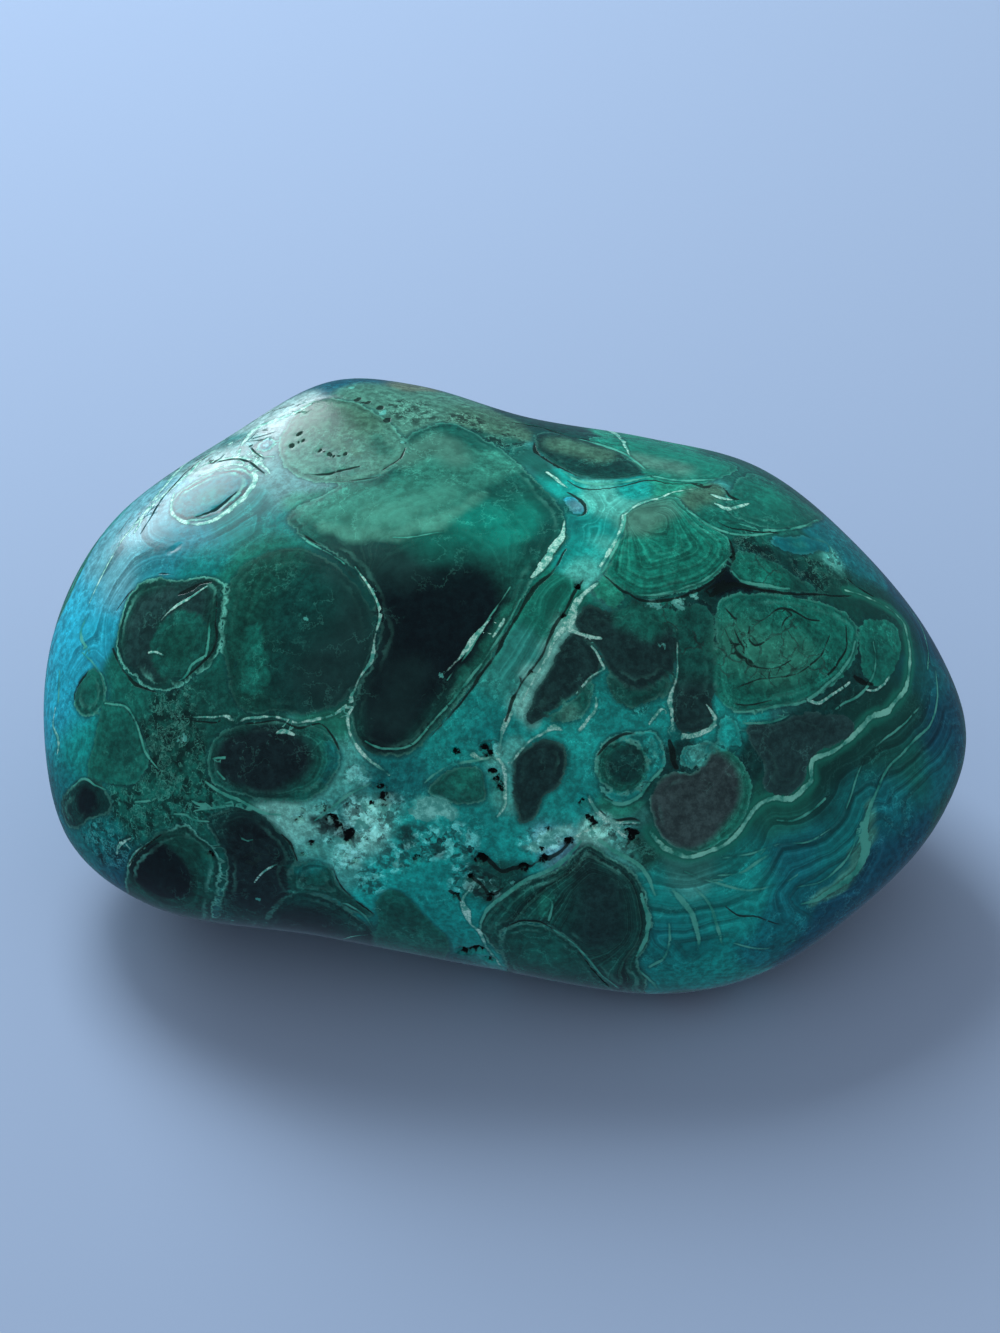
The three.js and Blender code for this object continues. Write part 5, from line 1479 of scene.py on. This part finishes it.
patchy = rise(lumps_of(3, 2, 0.5, 51), 0.32, 0.58)
rim_strength = times(measure("rim"), times_plus(patchy, 0.9, 0.12))
second_patch = rise(lumps_of(3.4, 2, 0.5, 57), 0.42, 0.62)
rim_distance = calc("MINIMUM", measure("edge"), calc("ABSOLUTE", measure("depth")))
inward = times(calc("SIGN", measure("depth")), rim_distance)
ragged = times_plus(centred(middling), 0.9, times_plus(centred(fine), 0.5, inward))
skin = calc("ABSOLUTE", ragged)
inner = rise(ragged, -0.04, 0.04)
outside = calc("SUBTRACT", 1.0, inner)
outer_mint = rise(times_plus(fine, 0.16, skin), 0.32, 0.14)
inner_mint = times(times(rise(skin, 0.5, 0.66), rise(skin, 0.95, 0.72)), times(second_patch, 0.55))
dark_skin = times(rise(skin, 0.16, 0.28), rise(skin, 0.56, 0.4))
body = blend(times(times(dark_skin, rim_strength), 0.7), body, FINISH["dark skin"])
body = blend(times(calc("ADD", outer_mint, inner_mint), rim_strength), body, FINISH["mint skin"])
seam = times(rise(skin, 0.34, 0.05), 0.6)
ground = blend(seam, ground, FINISH["seam"])
surface_tone = blend(inner, ground, body)

blotchy = rise(measure("crackled"), 0.2, 0.7)
blotches = lumps_of(0.9, 5, 0.65, 91)
surface_tone = blend(times(blotchy, rise(blotches, 0.5, 0.36)), surface_tone, scaled(surface_tone, 0.5))
surface_tone = blend(times(blotchy, rise(blotches, 0.55, 0.68)), surface_tone, scaled(surface_tone, 1.5))
crackle_here = rise(times_plus(middling, 1.6, measure("crackled")), 1.35, 1.7)
crackle = times(rise(crackle_of(1.7), 0.05, 0.02), crackle_here)
surface_tone = blend(times(crackle, 0.55), surface_tone, FINISH["crackle"])

thread_noise = calc("ABSOLUTE", centred(lumps_of(2.4, 5, 0.62, 61)))
threads = times(rise(thread_noise, 0.014, 0.004), rise(lumps_of(4, 2, 0.5, 81), 0.45, 0.6))
thread_tone = lifted(surface_tone, (1.6, 1.6, 1.6), (0.02, 0.09, 0.07))
surface_tone = blend(times(threads, 0.55), surface_tone, thread_tone)
roughened = blend(rise(fine, 0.36, 0.64), scaled(surface_tone, 0.72), scaled(surface_tone, 1.28))
roughened = blend(rise(grain, 0.4, 0.6), scaled(roughened, 0.9), scaled(roughened, 1.1))
clearness = calc("MAXIMUM", measure("clear"), times(streaks, 0.7))
surface_tone = blend(times(clearness, 0.75), roughened, surface_tone)
print("nodules: rings, hearts and rims")

# %% [markdown]
# ## Veins, crumbs, cracks and pits
#
# Last come the fine things that cross everything else. A vein fades in and out a little along its way, and
# along both its sides runs a thin painted shade. A green halo runs along the long wavy vein on the right.
# Cracks and pits are nearly black.

# %% Veins, crumbs, cracks and pits
wide_halo = rise(times_plus(middling, 1.6, measure("wavy")), 3.6, 1.8)
surface_tone = blend(times(times(wide_halo, outside), 0.6), surface_tone, FINISH["wide halo"])
halo = rise(times_plus(middling, 0.8, measure("wavy")), 1.1, 0.5)
surface_tone = blend(times(times(halo, outside), 0.75), surface_tone, FINISH["halo"])


def line_distance(family):
    """How far the nearest line of that family is, less its half width, from the stored arrow to it."""
    arrow = node("Attribute", {}, output="Vector", attribute_name=family + "_arrow")
    away = node("VectorMath", {0: arrow}, output="Value", operation="LENGTH")
    swelling = times_plus(fine, 1.2, times_plus(middling, 2.0, -0.65))
    uneven = times(swelling, measure(family + "_width"))
    # Midway between two lines the arrow shrinks too, but there the plain distance tells that none is near.
    between_two_lines = times(rise(measure(family), 0.18, 0.29), 9.0)
    return calc("ADD", calc("SUBTRACT", away, uneven), between_two_lines)


white_vein_and_highlight_distance = line_distance("white_vein")
green_distance = line_distance("green_vein")
crack_distance = line_distance("crack")
# Painted shade: every white and green vein gets a thin darker band along both sides.
for distance in (white_vein_and_highlight_distance, green_distance):
    shade = times(rise(distance, 0.3, 0.05), 0.32)
    surface_tone = blend(shade, surface_tone, scaled(surface_tone, 0.3))
unbroken = rise(middling, 0.3, 0.42)
green_cover = times(rise(green_distance, 0.05, -0.02), unbroken)
white_vein_and_highlight_cover = times(rise(white_vein_and_highlight_distance, 0.05, -0.02), unbroken)
vein_tone = blend(rise(measure("wavy"), 0.5, 0.2), FINISH["green vein"], FINISH["wavy vein"])
vein_tone = blend(rise(middling, 0.38, 0.6), FINISH["thin green vein"], vein_tone)
surface_tone = blend(times(green_cover, 0.85), surface_tone, vein_tone)
# The silica tone of the white veins, also worn by the painted highlights and glints among them.
silica = blend(rise(grain, 0.36, 0.6), FINISH["dull silica"], FINISH["white silica"])
silica = blend(rise(times_plus(middling, 0.5, fine), 0.66, 0.86), FINISH["stained silica"], silica)
surface_tone = blend(times(white_vein_and_highlight_cover, 0.9), surface_tone, silica)
crumb_and_glint_cover = rise(times_plus(centred(fine), 1.6, measure("crumb")), 0.06, -0.1)
crumb_and_glint_tone = blend(rise(fine, 0.4, 0.65), FINISH["dull crumb"], FINISH["pale crumb"])
surface_tone = blend(times(crumb_and_glint_cover, 0.85), surface_tone, crumb_and_glint_tone)
crack_cover = rise(crack_distance, 0.05, -0.03)
surface_tone = blend(times(crack_cover, 0.9), surface_tone, FINISH["crack"])
pit_cover = rise(times_plus(centred(fine), 1.3, measure("pit")), 0.06, -0.08)
surface_tone = blend(pit_cover, surface_tone, FINISH["pit"])
tree.links.new(surface_tone, shader.inputs["Base Color"])
print("veins, crumbs, cracks and pits")

# %% [markdown]
# ## Polish and touch
#
# The polish is soft rather than glassy, so lights spread into a haze. Sandy ground, crumbs, cracks and pits
# stay duller. A faint grain and the veins stand a hundredth of a millimetre or two proud, and crackle and
# cracks lie as much below, which a bump can carry.

# %% Polish
dullness = times_plus(middling, 0.1, 0.16)
open_sand = times(sandiness, outside)
dullness = times_plus(open_sand, 0.16, dullness)
dullness = times_plus(crumb_and_glint_cover, 0.3, dullness)
broken = calc("MAXIMUM", times(crackle, 0.7), calc("MAXIMUM", crack_cover, pit_cover))
dullness = calc("MAXIMUM", dullness, times(broken, 0.95))
tree.links.new(dullness, shader.inputs["Roughness"])
shader.inputs["IOR"].default_value = 1.55
shader.inputs["Specular IOR Level"].default_value = 0.4

height = times_plus(grain, 0.25, times(fine, 0.3))
height = times_plus(open_sand, fine, height)
height = times_plus(calc("MAXIMUM", green_cover, white_vein_and_highlight_cover), 0.5, height)
height = calc("SUBTRACT", height, times_plus(crackle, 0.6, calc("ADD", crack_cover, pit_cover)))
height = times_plus(times(blotchy, blotches), 0.8, height)
touch = node("Bump", {"Height": height, "Distance": 0.00006, "Strength": 0.5})
tree.links.new(touch, shader.inputs["Normal"])
stone_mesh.materials.clear()
stone_mesh.materials.append(polish)
print(len(tree.nodes), "nodes in the material")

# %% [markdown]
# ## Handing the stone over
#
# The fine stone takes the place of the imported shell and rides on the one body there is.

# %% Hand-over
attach(stone, "root")
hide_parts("stone")
